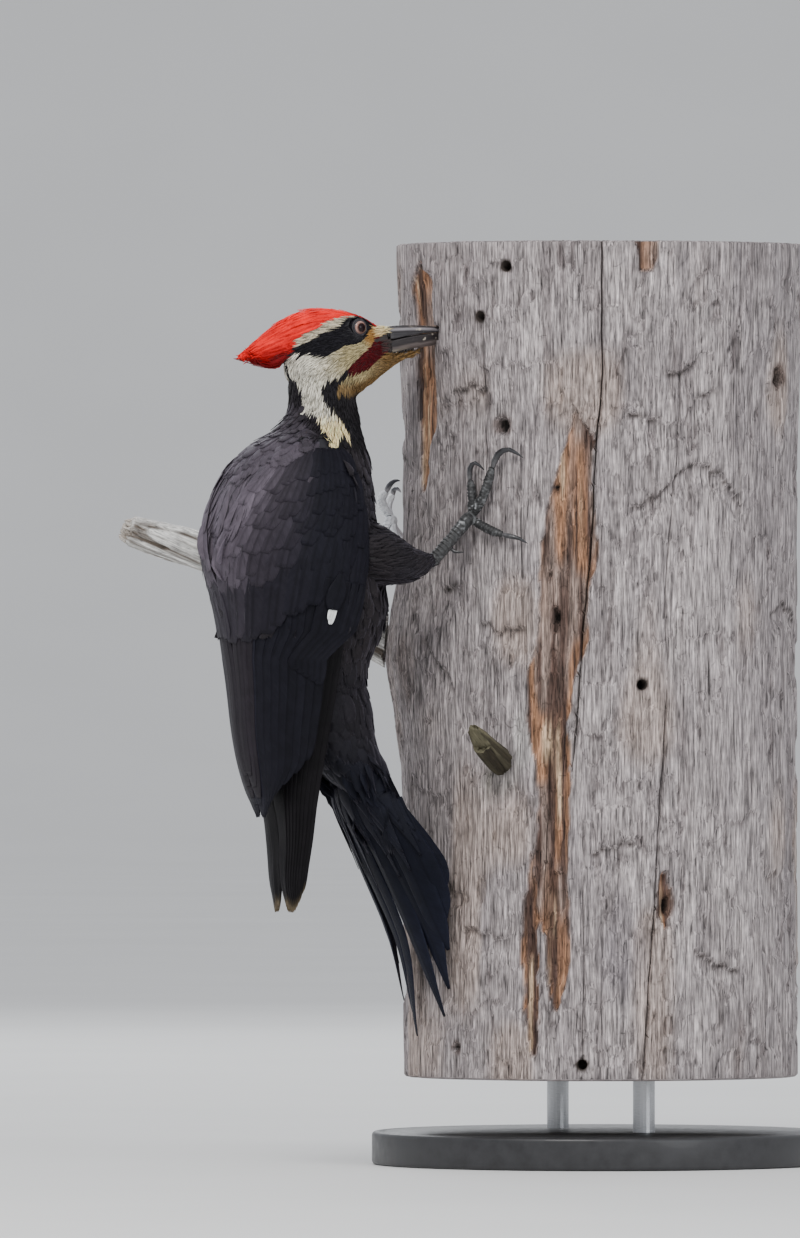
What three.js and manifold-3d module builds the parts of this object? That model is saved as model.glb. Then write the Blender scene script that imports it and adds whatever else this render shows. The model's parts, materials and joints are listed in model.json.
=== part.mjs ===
// Male pileated woodpecker clinging to a cut length of dead trunk on a plain display stand.
// Millimetres, +Z up. The bird faces +X with its left side towards +Y, and the origin is the
// middle of the stand's underside, below the axis of the trunk.

import * as THREE from 'three';
import { mergeVertices } from 'three/addons/utils/BufferGeometryUtils.js';
import Module from 'manifold-3d';

const wasm = await Module();
wasm.setup();

// Clearances and sides
const GAP = 0.35;
const LEFT = 1;
const RIGHT = -1;

// Stand
const BASE_RADIUS = 125;
const BASE_HEIGHT = 18;
const ROD_RADIUS = 6;
const ROD_SPREAD = 46;

// Trunk length
const LOG_BOTTOM = 48;
const LOG_TOP = 502;
const LOG_AROUND = 40;
const LOG_ALONG = 16;
const LOG_RADII = [
  [40, 108.3],
  [250, 108.3],
  [340, 108.3],
  [432, 109.6],
  [470, 111.6],
  [510, 112.4],
];
const BULGE_HEIGHT = 286;
const BULGE_SIZE = 11;
const BULGE_BEARING = -35;

// Weathered outer shell above the feet, and the trough worked into it beside the bill
const SHELL_RISE = 3.8;
const TROUGH_SPAN = [-11.5, 4.4];
const TROUGH_HEIGHTS = [486, 364];
const TROUGH_DEPTH = 2.6;

// Head frame: foot of the bill, turned a little to the bird's right and tilted up
const HEAD_ORIGIN = new THREE.Vector3(-141.6, -3.7, 449);
const HEAD_YAW = THREE.MathUtils.degToRad(-6);
const HEAD_PITCH = THREE.MathUtils.degToRad(4);

// Plane between head and neck, and the height where the neck meets the body
const NAPE_NORMAL = [0.2326, 0, 0.9726];
const NAPE_OFFSET = 370.96;
const NECK_FOOT = 403;

// Eyes: centre in the head frame and radius
const EYE_FORWARD = -16.5;
const EYE_UP = 7;
const EYE_OUT = 8.2;
const EYE_RADIUS = 5;

// Body and neck sections: height, centre x, front depth, back depth, half width
const BODY_ROWS = [
  [441, -168, 8, 12, 8],
  [434, -171.4, 16, 20.6, 14.8],
  [427, -173.4, 18.2, 21.8, 16.4],
  [421, -174.4, 18.8, 20.2, 17.1],
  [416, -174.6, 19, 19.4, 17.5],
  [409, -174.4, 19.8, 20.2, 18.6],
  [404.5, -176.2, 22.4, 22.2, 21],
  [400, -178.8, 26.2, 25.8, 25],
  [393, -184.3, 32.7, 32.9, 31],
  [383, -188.6, 38.6, 38.6, 37],
  [372, -191.9, 42.5, 42.3, 41],
  [360, -193.4, 45.2, 45.4, 43.3],
  [345, -194.2, 47.4, 48, 45.5],
  [328, -193.4, 48, 48.5, 46],
  [314, -188.6, 46.9, 47, 45.2],
  [302, -182.4, 42.5, 49, 43],
  [289, -181.3, 37.8, 46.5, 38.8],
  [275, -184, 33, 40, 34],
  [261, -180, 28.4, 40, 29.5],
  [246, -172.4, 24.2, 35, 26.5],
  [232, -167.7, 21, 28, 25],
  [219, -161, 18.6, 23.5, 24.5],
  [208, -151.5, 15, 20, 21],
  [201, -147, 9, 12, 14],
  [198, -146, 0, 0, 0],
];

// Folded wing envelope: height, centre x, back depth, half width, front and back bearing
const WING_ROWS = [
  [402, -181, 27, 28, 104, 132],
  [394, -184.6, 33.5, 35, 90, 141],
  [383, -188.6, 38.8, 40, 77, 148],
  [372, -191.9, 42.4, 43.6, 68, 153],
  [362, -193.3, 45.9, 46.2, 65, 158],
  [351, -194, 48, 48, 65, 163],
  [340, -194.2, 50, 49.5, 67, 168],
  [329, -194, 50, 50, 69, 171.5],
  [318, -191.4, 49, 49.6, 72, 175],
  [308, -188.5, 48.6, 49, 78, 177],
  [297, -187.7, 46.3, 48, 82, 178],
  [286, -188.6, 43.4, 47, 84, 178.4],
  [275, -189, 41, 45.6, 87, 178.4],
  [264, -189.4, 38.8, 44, 90, 178.4],
  [232, -191.7, 33.6, 36.4, 90, 178.4],
  [210, -193.6, 26.2, 32, 90, 178.2],
  [191, -195.1, 16.5, 28, 90, 178],
  [186, -195.4, 14, 26, 90, 178],
];

// Flight feathers of the wing tip, lying inside the envelope
const TIP_ROWS = [
  [283, -188.8, 38, 43, 86, 172],
  [264, -189.4, 33, 41, 90, 172],
  [232, -191.7, 24, 33.2, 90, 174],
  [210, -193.6, 17, 29, 90, 176],
  [191, -195, 10.5, 25.8, 90, 177.5],
  [178, -195.2, 7.9, 23.3, 90, 177.5],
  [157, -196.9, 6.2, 19, 90, 177],
  [145, -195.9, 4.9, 15, 90, 176],
  [137, -196.4, 4.2, 11, 90, 174],
];

// Head sections: forward, top, bottom, half width
const HEAD_ROWS = [
  [6.4, -3.2, -3.4, 0],
  [3.6, 6.2, -13.4, 6.9],
  [-1, 8, -17.6, 8.2],
  [-6, 10.6, -22.6, 10],
  [-11.5, 13, -27.4, 12.1],
  [-17.5, 14.8, -31, 13.9],
  [-25, 15.5, -33.4, 15.4],
  [-33, 15.2, -34.2, 16],
  [-41, 11.8, -33.4, 15.2],
  [-48, 6, -31, 13],
  [-53.8, -2, -27.5, 9.6],
  [-57.4, -10, -18, 0],
];

// Chin wedge under the lower jaw: forward, top, bottom, half width
const CHIN_ROWS = [
  [25, -7.4, -7.6, 0],
  [21, -5.6, -9.7, 2.3],
  [14, -6.4, -12.6, 3.9],
  [7, -7.4, -16, 5.4],
  [0, -8, -20.2, 7],
  [-8, -9, -26, 9],
  [-14, -12, -20, 0],
];

// Crest over the crown: forward, top, bottom, half width
const CREST_ROWS = [
  [2, 7, 6.6, 0],
  [-2.5, 10.1, 5.6, 4],
  [-8, 13.6, 7, 7],
  [-15, 16.5, 8, 9.6],
  [-24, 18.8, 7, 11.4],
  [-35, 20, 3, 12.4],
  [-46, 18.9, -3.5, 11.4],
  [-56, 15, -10.5, 8.8],
  [-64, 10.5, -12.3, 6.4],
  [-72, 5.2, -8.4, 4.4],
  [-80, -0.8, -6.6, 2.6],
  [-85, -4.6, -4.8, 0],
];

// Bill: forward, top edge, cutting edge, bottom edge, half width
const BILL_ROWS = [
  [-6, 5, -1.2, -9, 5],
  [0, 6.8, -1, -9.8, 6.4],
  [6, 7, -0.6, -8.8, 6.3],
  [14, 6.7, 0.4, -7.3, 5.5],
  [22, 6.1, 1.2, -6.2, 4.7],
  [30, 5.2, 1.5, -5.4, 3.9],
  [40, 3.8, 1.2, -3.9, 3],
  [50, 2.1, 0.6, -2.2, 1.9],
  [55.5, 1.2, 0.2, -1.1, 1],
  [57.5, 0.6, 0, -0.6, 0],
];

// Tail feathers: base, spread, middle, lower and tip points, then the lean of the vane
const TAIL_RIGHT = [
  [[-160, -2, 228], [-163, -4.5, 203], [-143, -8, 168], [-123, -12.5, 126], [-109.2, -18.5, 82], 8],
  [[-159, -5, 228], [-160, -12, 203], [-140, -17, 168], [-119, -19.5, 128], [-109, -22.5, 97], 22],
  [[-158, -8, 228], [-156, -19, 203], [-137, -24.5, 168], [-119, -23.5, 134], [-110.2, -24.2, 118], 38],
  [[-157, -11, 228], [-151, -24, 203], [-131.5, -29.5, 168], [-119, -27.5, 146], [-113.4, -27, 135], 52],
  [[-155, -13, 226], [-149, -25, 204], [-129, -30.6, 172], [-120.6, -30, 158], [-116.6, -29.4, 149], 60],
];
const TAIL_LEFT = [
  [[-160, 2, 228], [-163, 4.5, 203], [-143.5, 8, 168], [-122.5, 10, 122], [-110.4, 10, 71], 8],
  [[-159, 5, 228], [-161.5, 13, 203], [-142.4, 18.5, 168], [-122, 17, 124], [-110.6, 15, 84], 22],
  [[-158, 8, 228], [-158.4, 21, 203], [-138.6, 27.5, 168], [-121, 23.6, 126], [-112.6, 20, 90], 38],
  [[-157, 11, 228], [-153.4, 28, 203], [-132.6, 35, 168], [-119, 30.6, 132], [-112, 27, 110], 52],
  [[-155, 13, 226], [-148, 29, 204], [-126, 37.5, 170], [-117.5, 35, 148], [-112.5, 33, 135], 60],
];

// Legs: thigh path and radius, shank path and radius
const RIGHT_THIGH = [
  [-174, -22, 338, 13],
  [-165, -29, 334, 17.5],
  [-154, -35, 329.5, 15],
  [-143, -37, 327, 11.3],
  [-134, -38, 328, 7],
  [-127.5, -38.3, 328.6, 3.8],
];
const RIGHT_SHANK = [
  [-131, -37.6, 325.8, 3.4],
  [-125, -38.6, 332.2, 3.2],
  [-116, -40.3, 342.4, 3],
  [-109.4, -41.8, 350.2, 3.4],
  [-106.6, -42.4, 353.8, 3.1],
];
const LEFT_THIGH = [
  [-174, 22, 338, 13],
  [-165, 28, 334, 17.5],
  [-150, 36, 329, 14.5],
  [-136, 42, 327, 11],
  [-123, 46, 327, 7],
  [-116.5, 47.8, 328, 3.8],
];
const LEFT_SHANK = [
  [-115.5, 46.6, 324.6, 3.4],
  [-110.2, 50.2, 331.5, 3.2],
  [-103, 56.2, 342, 3],
  [-97.6, 60.4, 350, 3.4],
  [-95.6, 61.8, 353.4, 3.1],
];

// Toes: bearing round the trunk, lift off the bark, height and radius
const RIGHT_TOES = {
  outer: [[21.6, 5.2, 353.4, 2.5], [25, 6.4, 360.6, 2.3], [26.9, 5.6, 370, 2.4], [27.8, 3.4, 379.4, 2]],
  inner: [[21.4, 5.6, 354.6, 2.3], [22.3, 6.6, 360.6, 2.1], [21.7, 5.6, 367, 2.2], [20.4, 3.7, 372.4, 1.8]],
  lower: [[21.8, 4.8, 351, 2.4], [24.6, 5, 348.2, 2.1], [27.6, 4.4, 345.4, 2.2], [31, 3.1, 343, 1.8]],
  hind: [[19.8, 4.6, 350, 2.2], [17.4, 5, 346.8, 2], [15, 4.6, 343.6, 2], [13.6, 3.4, 340.4, 1.6]],
};
const RIGHT_CLAWS = {
  outer: [[27.7, 3.4, 378.6, 1.7], [30, 4.8, 386.4, 1.9], [33.6, 5, 389, 1.4], [37, 0.95, 384.4, 0.4]],
  inner: [[20.3, 3.7, 371.6, 1.5], [20.7, 4.8, 378.6, 1.6], [22.4, 4.4, 382, 1.2], [24.4, 0.95, 377.8, 0.4]],
  lower: [[30.4, 3.1, 343.2, 1.5], [33.4, 3.9, 342.2, 1.6], [36, 3.3, 341, 1.1], [38.2, 0.95, 338.2, 0.4]],
  hind: [[13.9, 3.5, 341, 1.3], [12.9, 4.2, 337, 1.3], [14.2, 3.4, 334, 1], [16.8, 0.95, 333.6, 0.4]],
};
const LEFT_TOES = {
  inner: [[-32.2, 6.6, 353, 2.4], [-32.8, 10, 358, 2.3], [-32.8, 11.4, 363.4, 2.4], [-32.4, 8.4, 367, 1.9]],
  outer: [[-34, 6, 352, 2.3], [-36.4, 8.6, 356.6, 2.2], [-38, 8.6, 361.6, 2.3], [-38.4, 6, 365.4, 1.8]],
  lower: [[-33.8, 5.6, 350.6, 2.4], [-36.8, 5.4, 347.6, 2.1], [-39.8, 4.6, 345, 2.2], [-43, 3.1, 342.8, 1.8]],
  hind: [[-31.8, 5.4, 350, 2.2], [-29.4, 5.2, 346.6, 2], [-27.2, 4.6, 343.4, 2], [-25.8, 3.4, 340.4, 1.6]],
};
const LEFT_CLAWS = {
  inner: [[-32.4, 8.9, 366.4, 1.6], [-31.6, 7, 370.4, 1.6], [-30.8, 4, 373, 1.2], [-30, 0.95, 373, 0.4]],
  outer: [[-38.3, 6.3, 364.8, 1.5], [-37.8, 5.6, 368, 1.5], [-36.8, 3.4, 368.8, 1.1], [-35.8, 0.95, 366.6, 0.4]],
  lower: [[-42.4, 3.1, 343, 1.5], [-45.4, 4, 342, 1.6], [-48, 3.3, 340.8, 1.1], [-50.2, 0.95, 338, 0.4]],
  hind: [[-26.1, 3.5, 341, 1.3], [-25.1, 4.2, 337, 1.3], [-26.4, 3.4, 334, 1], [-29, 0.95, 333.6, 0.4]],
};

// Dead limb and knot stub: path points and radius
const LIMB_ROWS = [
  [-78, 57, 276, 15],
  [-104.3, 69.4, 290, 13.6],
  [-145.2, 88.5, 316, 11.8],
  [-187.9, 108.5, 334.2, 11],
  [-216, 122.8, 343, 10.2],
  [-229, 129.4, 347, 7.4],
];
const KNOT_BEARING = 29.3;
const KNOT_HEIGHT = 221;

// Materials
function matte(name, color, roughness = 0.85) {
  return new THREE.MeshStandardMaterial({ name, color, roughness, metalness: 0 });
}
const plumage = matte('plumage_black', 0x1d1a1f, 0.7);
const crestRed = matte('crest_red', 0xe02a20, 0.8);
const billHorn = matte('bill_slate', 0x4b4a52, 0.4);
const eyeGloss = matte('eye', 0xc9a08a, 0.15);
const legSkin = matte('leg_skin', 0x5c5b56, 0.6);
const clawHorn = matte('claw_horn', 0x26242a, 0.35);
const deadWood = matte('dead_wood', 0x958b84, 0.9);
const paleWood = matte('bleached_wood', 0xb9b2aa, 0.9);
const standPaint = matte('stand_paint', 0x2b2b2d, 0.5);
const standSteel = new THREE.MeshStandardMaterial({
  name: 'stand_steel',
  color: 0x9a9ca0,
  roughness: 0.35,
  metalness: 1,
});

// A smooth curve through the rows of a table, keyed by the first column
function table(rows) {
  const sorted = [...rows].sort((a, b) => a[0] - b[0]);
  const keys = sorted.map((row) => row[0]);
  const values = sorted.flatMap((row) => row.slice(1));
  const curve = new THREE.CubicInterpolant(keys, values, sorted[0].length - 1);
  return (key) => Array.from(curve.evaluate(key));
}

// A closed solid from a closed geometry, with its faces pointing out
function solid(shape) {
  shape.deleteAttribute('normal');
  shape.deleteAttribute('uv');
  const merged = mergeVertices(shape, 1e-4);
  const vertProperties = Float32Array.from(merged.attributes.position.array);
  const triVerts = Uint32Array.from(merged.index.array);
  const made = new wasm.Manifold(new wasm.Mesh({ numProp: 3, vertProperties, triVerts }));
  if (made.volume() > 0) {
    return made;
  }
  const turned = triVerts.map((_, i) => triVerts[i - (i % 3) + [0, 2, 1][i % 3]]);
  return new wasm.Manifold(new wasm.Mesh({ numProp: 3, vertProperties, triVerts: turned }));
}

// Rings of points from pole to pole; end is -1 at the first key and 1 at the last
function loft(keys, around, place) {
  const rings = keys.length - 1;
  const shape = new THREE.SphereGeometry(1, around, rings);
  const points = shape.attributes.position;
  const corner = new THREE.Vector3();
  for (let i = 0; i < points.count; i += 1) {
    corner.fromBufferAttribute(points, i);
    const polar = Math.acos(THREE.MathUtils.clamp(corner.y, -1, 1));
    const ring = Math.round((polar / Math.PI) * rings);
    const step = Math.round((Math.atan2(corner.z, corner.x) / (2 * Math.PI)) * around);
    const angle = (((step + around) % around) / around) * 2 * Math.PI;
    const end = (ring === rings ? 1 : 0) - (ring === 0 ? 1 : 0);
    const spot = place(keys[ring], angle, end);
    points.setXYZ(i, spot.x, spot.y, spot.z);
  }
  return solid(shape);
}

// A bent sheet: share runs across it, depth through it and run along it, each from 0 to 1
function sheet(across, along, place) {
  const shape = new THREE.BoxGeometry(1, 1, 1, across, 1, along);
  const points = shape.attributes.position;
  for (let i = 0; i < points.count; i += 1) {
    const share = points.getX(i) + 0.5;
    const depth = points.getY(i) + 0.5;
    const run = 0.5 - points.getZ(i);
    const spot = place(share, depth, run);
    points.setXYZ(i, spot.x, spot.y, spot.z);
  }
  return solid(shape);
}

function squircle(angle, power) {
  const c = Math.cos(angle);
  const s = Math.sin(angle);
  return [Math.sign(c) * Math.abs(c) ** (2 / power), Math.sign(s) * Math.abs(s) ** (2 / power)];
}

// A limb swept along points [x, y, z, radius] or [x, y, z, radius, thickness]
function sweep(rows, around, rings, pad = 0, side = new THREE.Vector3(0, 1, 0)) {
  const count = rows.length - 1;
  const spots = rows.map((row) => new THREE.Vector3(row[0], row[1], row[2]));
  const curve = new THREE.CatmullRomCurve3(spots, false, 'catmullrom', 0.5);
  const sizeAt = table(rows.map((row, i) => [i / count, row[3], row[4] ?? row[3]]));
  const inner = Array.from({ length: rings - 1 }, (_, i) => (i + 1) / rings);
  const keys = [0, 0.02, ...inner, 0.98, 1];
  return loft(keys, around, (key, angle, end) => {
    const centre = curve.getPoint(key);
    const tangent = curve.getTangent(key).normalize();
    if (end !== 0) {
      return centre.addScaledVector(tangent, end * pad);
    }
    const normal = new THREE.Vector3().crossVectors(tangent, side).normalize();
    const wide = new THREE.Vector3().crossVectors(normal, tangent).normalize();
    const [a, b] = sizeAt(key);
    const blunt = key === 0.02 || key === 0.98 ? 0.72 : 1;
    centre.addScaledVector(wide, (a * blunt + pad) * Math.cos(angle));
    centre.addScaledVector(normal, (b * blunt + pad) * Math.sin(angle));
    return centre;
  });
}

function biggest(shape) {
  const parts = shape.decompose();
  parts.sort((a, b) => b.volume() - a.volume());
  return parts[0];
}

// Turns [forward, out, up] of the head frame into the model's frame; out is to the bird's left
function fromHead(forward, out, up) {
  const spot = new THREE.Vector3(forward, out, up);
  spot.applyEuler(new THREE.Euler(0, -HEAD_PITCH, HEAD_YAW, 'ZYX'));
  return spot.add(HEAD_ORIGIN);
}

// The trunk
function logRadius(bearing, z) {
  const [radius] = logSize(z);
  const reach = z > BULGE_HEIGHT ? 26 : 50;
  const up = Math.exp(-(((z - BULGE_HEIGHT) / reach) ** 2));
  const turn = (((bearing - BULGE_BEARING + 540) % 360) - 180) / 38;
  return radius + BULGE_SIZE * up * Math.exp(-(turn ** 2)) + shellRise(bearing, z);
}

function shellRise(bearing, z) {
  const { smoothstep } = THREE.MathUtils;
  const turned = ((bearing + 540) % 360) - 180;
  const near = smoothstep(turned, -6, 6) * (1 - smoothstep(turned, 25, 60));
  return SHELL_RISE * near * smoothstep(z, 392, 426);
}

function onLog(bearing, lift, z) {
  const radius = logRadius(bearing, z) + lift;
  const angle = THREE.MathUtils.degToRad(bearing);
  return new THREE.Vector3(-radius * Math.cos(angle), -radius * Math.sin(angle), z);
}

function makeLog(pad = 0) {
  const height = LOG_TOP - LOG_BOTTOM;
  const shape = new THREE.CylinderGeometry(1, 1, 1, LOG_AROUND, LOG_ALONG);
  shape.rotateX(Math.PI / 2);
  const points = shape.attributes.position;
  for (let i = 0; i < points.count; i += 1) {
    const x = points.getX(i);
    const y = points.getY(i);
    const z = LOG_BOTTOM + (points.getZ(i) + 0.5) * height;
    const reach = Math.hypot(x, y);
    const bearing = THREE.MathUtils.radToDeg(Math.atan2(-y, -x));
    const spot = reach > 0.5 ? onLog(bearing, pad, z) : new THREE.Vector3(0, 0, z);
    points.setXYZ(i, spot.x, spot.y, spot.z);
  }
  return solid(shape);
}

function makeTrough() {
  const [first, last] = TROUGH_SPAN;
  return sheet(5, 9, (share, depth, run) => {
    const bearing = THREE.MathUtils.degToRad(first + (last - first) * share);
    const z = THREE.MathUtils.lerp(TROUGH_HEIGHTS[0], TROUGH_HEIGHTS[1], run);
    const fade = Math.sin(Math.PI * run) ** 0.6;
    const floor = 0.4 - (TROUGH_DEPTH + 0.4) * fade * (0.3 + 0.7 * Math.sin(Math.PI * 0.5 * share));
    const radius = logSize(z)[0] + (depth > 0.5 ? 12 : floor);
    return new THREE.Vector3(-radius * Math.cos(bearing), -radius * Math.sin(bearing), z);
  });
}

function makePit() {
  const size = table([[22, 5.9, 7.3], [34, 4.6, 5.9], [50, 3.1, 3.5], [62, 1.9, 1.9]]);
  return loft([22, 22.5, 34, 48, 61.5, 62], 14, (forward, angle, end) => {
    const [wide, high] = size(forward);
    const reach = end === 0 ? 1 : 0;
    return fromHead(forward, reach * wide * Math.cos(angle), reach * high * Math.sin(angle));
  });
}

function knotRows() {
  const foot = onLog(KNOT_BEARING, -12, KNOT_HEIGHT - 6);
  const mid = onLog(KNOT_BEARING, 12, KNOT_HEIGHT + 6);
  const tip = onLog(KNOT_BEARING, 32, KNOT_HEIGHT + 17.5);
  return [[...foot, 9], [...mid, 7.2], [...tip, 5.6]];
}

// Body
function makeBody(around, pad = 0) {
  const size = table(BODY_ROWS);
  const keys = BODY_ROWS.map((row) => row[0]);
  return loft(keys, around, (z, angle, end) => {
    const [x, front, back, half] = size(z);
    if (end !== 0) {
      return new THREE.Vector3(x, 0, z - end * pad);
    }
    const [c, s] = squircle(angle, 2.15);
    const depth = c > 0 ? front : back;
    return new THREE.Vector3(x + (depth + pad) * c, (half + pad) * s, z);
  });
}

// One layer of a folded wing, from its top height down to foot(share) across the layer
function wingLayer(side, layer, pad) {
  const size = table(layer.rows);
  return sheet(layer.across, layer.along, (share, depth, run) => {
    const top = layer.top + pad;
    const z = THREE.MathUtils.lerp(top, layer.foot(share) - pad, run);
    const [x, back, half, first, last] = size(z);
    const begin = Math.max(first, layer.front);
    const spread = THREE.MathUtils.radToDeg(pad / half);
    const bearing = begin - spread + (last - begin + 2 * spread) * share;
    const edge = 0.45 + 0.55 * Math.sin(Math.PI * share) ** 0.6;
    const taper = 1 - 0.55 * THREE.MathUtils.smoothstep(run, 0.8, 1);
    const inward = depth * (layer.thick * edge * taper + 2 * pad) - pad;
    const angle = THREE.MathUtils.degToRad(bearing);
    const px = x + (back - inward) * Math.cos(angle);
    return new THREE.Vector3(px, side * (half - inward) * Math.sin(angle), z);
  });
}

const COVERTS = {
  rows: WING_ROWS,
  top: 400,
  foot: () => 284,
  front: 0,
  across: 8,
  along: 10,
  thick: 5,
};
const SECONDARIES = {
  rows: WING_ROWS,
  top: 283.4,
  foot: (share) => 191 + 26 * (1 - share) ** 1.6 + 6 * Math.max(0, share - 0.85),
  front: 104,
  across: 7,
  along: 6,
  thick: 2.1,
};
const PRIMARIES = {
  rows: TIP_ROWS,
  top: 283.4,
  foot: (share) => 138 + 34 * (share - 0.45) ** 2,
  front: 0,
  across: 6,
  along: 9,
  thick: 2,
};
const WING_LAYERS = { coverts: COVERTS, secondaries: SECONDARIES, primaries: PRIMARIES };

function wholeWing(side, pad) {
  return Object.values(WING_LAYERS).map((layer) => wingLayer(side, layer, pad));
}

// Head, chin, crest and bill
function headLoft(rows, around, power, pad, crown) {
  const size = table(rows);
  const keys = rows.map((row) => row[0]);
  return loft(keys, around, (forward, angle, end) => {
    const [top, bottom, half] = size(forward);
    const middle = (top + bottom) / 2;
    if (end !== 0) {
      return fromHead(forward - end * pad, 0, middle);
    }
    const [c, s] = squircle(angle, power);
    const narrow = 1 - crown * Math.max(0, s) ** 2;
    const high = (top - bottom) / 2 + pad;
    return fromHead(forward, (half * narrow + pad) * c, middle + high * s);
  });
}

function makeHead(pad = 0) {
  const skull = headLoft(HEAD_ROWS, 22, 2.5, pad, 0.06);
  return skull.add(headLoft(CHIN_ROWS, 10, 2.2, pad, 0));
}

function makeEye(side, pad = 0) {
  const shape = new THREE.SphereGeometry(EYE_RADIUS + pad, 12, 8);
  const centre = fromHead(EYE_FORWARD, side * EYE_OUT, EYE_UP);
  shape.translate(centre.x, centre.y, centre.z);
  return solid(shape);
}

function makeBill(upper, pad = 0) {
  const size = table(BILL_ROWS);
  const keys = BILL_ROWS.map((row) => row[0]);
  return loft(keys, 14, (forward, angle, end) => {
    const [top, edge, bottom, half] = size(forward);
    const seam = upper ? edge + 0.32 : edge - 0.32;
    const rim = upper ? top : bottom;
    if (end !== 0) {
      return fromHead(forward + Math.sign(forward) * pad, 0, (seam + rim) / 2);
    }
    const c = Math.cos(angle);
    const s = Math.sin(angle);
    const reach = s > 0 ? (rim - seam) * s ** 0.85 : (rim - seam) * 0.015 * s;
    const grow = Math.sign(rim - seam) * pad * Math.sign(Math.round(s * 100));
    const wide = half * (upper ? 1 : 0.94) + pad;
    return fromHead(forward, wide * Math.sign(c) * Math.abs(c) ** 0.9, seam + reach + grow);
  });
}

// Tail
function tailFeather(row, side, pad = 0) {
  const lean = THREE.MathUtils.degToRad(row[5]);
  const across = new THREE.Vector3(Math.sin(lean), side * Math.cos(lean), 0);
  const sizes = [[3, 1.4], [5.6, 1.2], [6.6, 1], [5.2, 0.9], [1.1, 0.7]];
  const rows = sizes.map((size, i) => [...row[i], ...size]);
  return sweep(rows, 6, 7, pad, across);
}

function makeTail(pad = 0) {
  const right = TAIL_RIGHT.map((row) => tailFeather(row, RIGHT, pad));
  const left = TAIL_LEFT.map((row) => tailFeather(row, LEFT, pad));
  return wasm.Manifold.union([...right, ...left]);
}

// Feet
function digit(rows, around, rings, pad = 0) {
  const bark = rows.map(([bearing, lift, z, radius]) => [...onLog(bearing, lift, z), radius]);
  const middle = onLog(rows[1][0], 0, rows[1][2]);
  const out = new THREE.Vector3(middle.x, middle.y, 0).normalize();
  return sweep(bark, around, rings, pad, out);
}

const group = new THREE.Group();
const logSize = table(LOG_RADII);

function show(name, shape, material, tolerance = 0.06) {
  const made = shape.simplify(tolerance).getMesh();
  const geometry = new THREE.BufferGeometry();
  geometry.setAttribute('position', new THREE.BufferAttribute(made.vertProperties, 3));
  geometry.setIndex(new THREE.BufferAttribute(made.triVerts, 1));
  geometry.computeVertexNormals();
  const mesh = new THREE.Mesh(geometry, material);
  mesh.name = name;
  group.add(mesh);
}

function cut(shape, others) {
  return others.reduce((left, other) => left.subtract(other), shape);
}

function addStand() {
  const base = new THREE.CylinderGeometry(BASE_RADIUS, BASE_RADIUS, BASE_HEIGHT, 48);
  base.rotateX(Math.PI / 2);
  base.translate(0, 0, BASE_HEIGHT / 2);
  show('stand_base', solid(base), standPaint);
  const length = LOG_BOTTOM - BASE_HEIGHT - 2 * GAP;
  for (const [name, y] of [['stand_rod_left', ROD_SPREAD], ['stand_rod_right', -ROD_SPREAD]]) {
    const rod = new THREE.CylinderGeometry(ROD_RADIUS, ROD_RADIUS, length, 20);
    rod.rotateX(Math.PI / 2);
    rod.translate(0, y, BASE_HEIGHT + GAP + length / 2);
    show(name, solid(rod), standSteel);
  }
}

function addPerch() {
  const trunk = makeLog();
  const grown = makeLog(GAP);
  show('perch_log', biggest(trunk.subtract(makeTrough()).subtract(makePit())), deadWood);
  show('perch_limb', biggest(sweep(LIMB_ROWS, 14, 9).subtract(grown)), paleWood);
  show('perch_knot_stub', biggest(sweep(knotRows(), 12, 4).subtract(grown)), deadWood);
}

function addHead() {
  const eyes = [makeEye(LEFT, GAP), makeEye(RIGHT, GAP)];
  const full = makeHead();
  const head = cut(full, eyes).trimByPlane(NAPE_NORMAL, NAPE_OFFSET + GAP / 2);
  show('head', biggest(head), plumage, 0.08);
  const crest = headLoft(CREST_ROWS, 18, 2.2, 0, 0.1);
  show('crest', biggest(cut(crest, [makeHead(GAP), ...eyes])), crestRed);
  show('eye_left', makeEye(LEFT), eyeGloss);
  show('eye_right', makeEye(RIGHT), eyeGloss);
  const grown = [makeHead(GAP)];
  show('bill_upper', biggest(cut(makeBill(true), grown)), billHorn);
  show('bill_lower', biggest(cut(makeBill(false), grown)), billHorn);
}

function addBody() {
  const wings = [...wholeWing(LEFT, GAP), ...wholeWing(RIGHT, GAP)];
  const thighs = [sweep(RIGHT_THIGH, 14, 8, GAP), sweep(LEFT_THIGH, 14, 8, GAP)];
  const whole = makeBody(24);
  const neck = whole.trimByPlane([0, 0, 1], NECK_FOOT + GAP / 2);
  const below = NAPE_NORMAL.map((value) => -value);
  show('neck', biggest(neck.trimByPlane(below, -NAPE_OFFSET + GAP / 2)), plumage);
  const torso = whole.trimByPlane([0, 0, -1], -NECK_FOOT + GAP / 2);
  show('torso', biggest(cut(torso, [...wings, ...thighs])), plumage, 0.12);
}

function addWings() {
  for (const [label, side] of [['left', LEFT], ['right', RIGHT]]) {
    for (const [name, layer] of Object.entries(WING_LAYERS)) {
      show(`wing_${label}_${name}`, wingLayer(side, layer, 0), plumage);
    }
  }
}

function addTail() {
  const fences = [makeBody(24, GAP), makeLog(GAP)];
  const wings = [LEFT, RIGHT].map((side) => wingLayer(side, PRIMARIES, GAP));
  const tail = cut(makeTail(), [...fences, ...wings]);
  show('tail', biggest(tail), plumage, 0.1);
}

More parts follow.
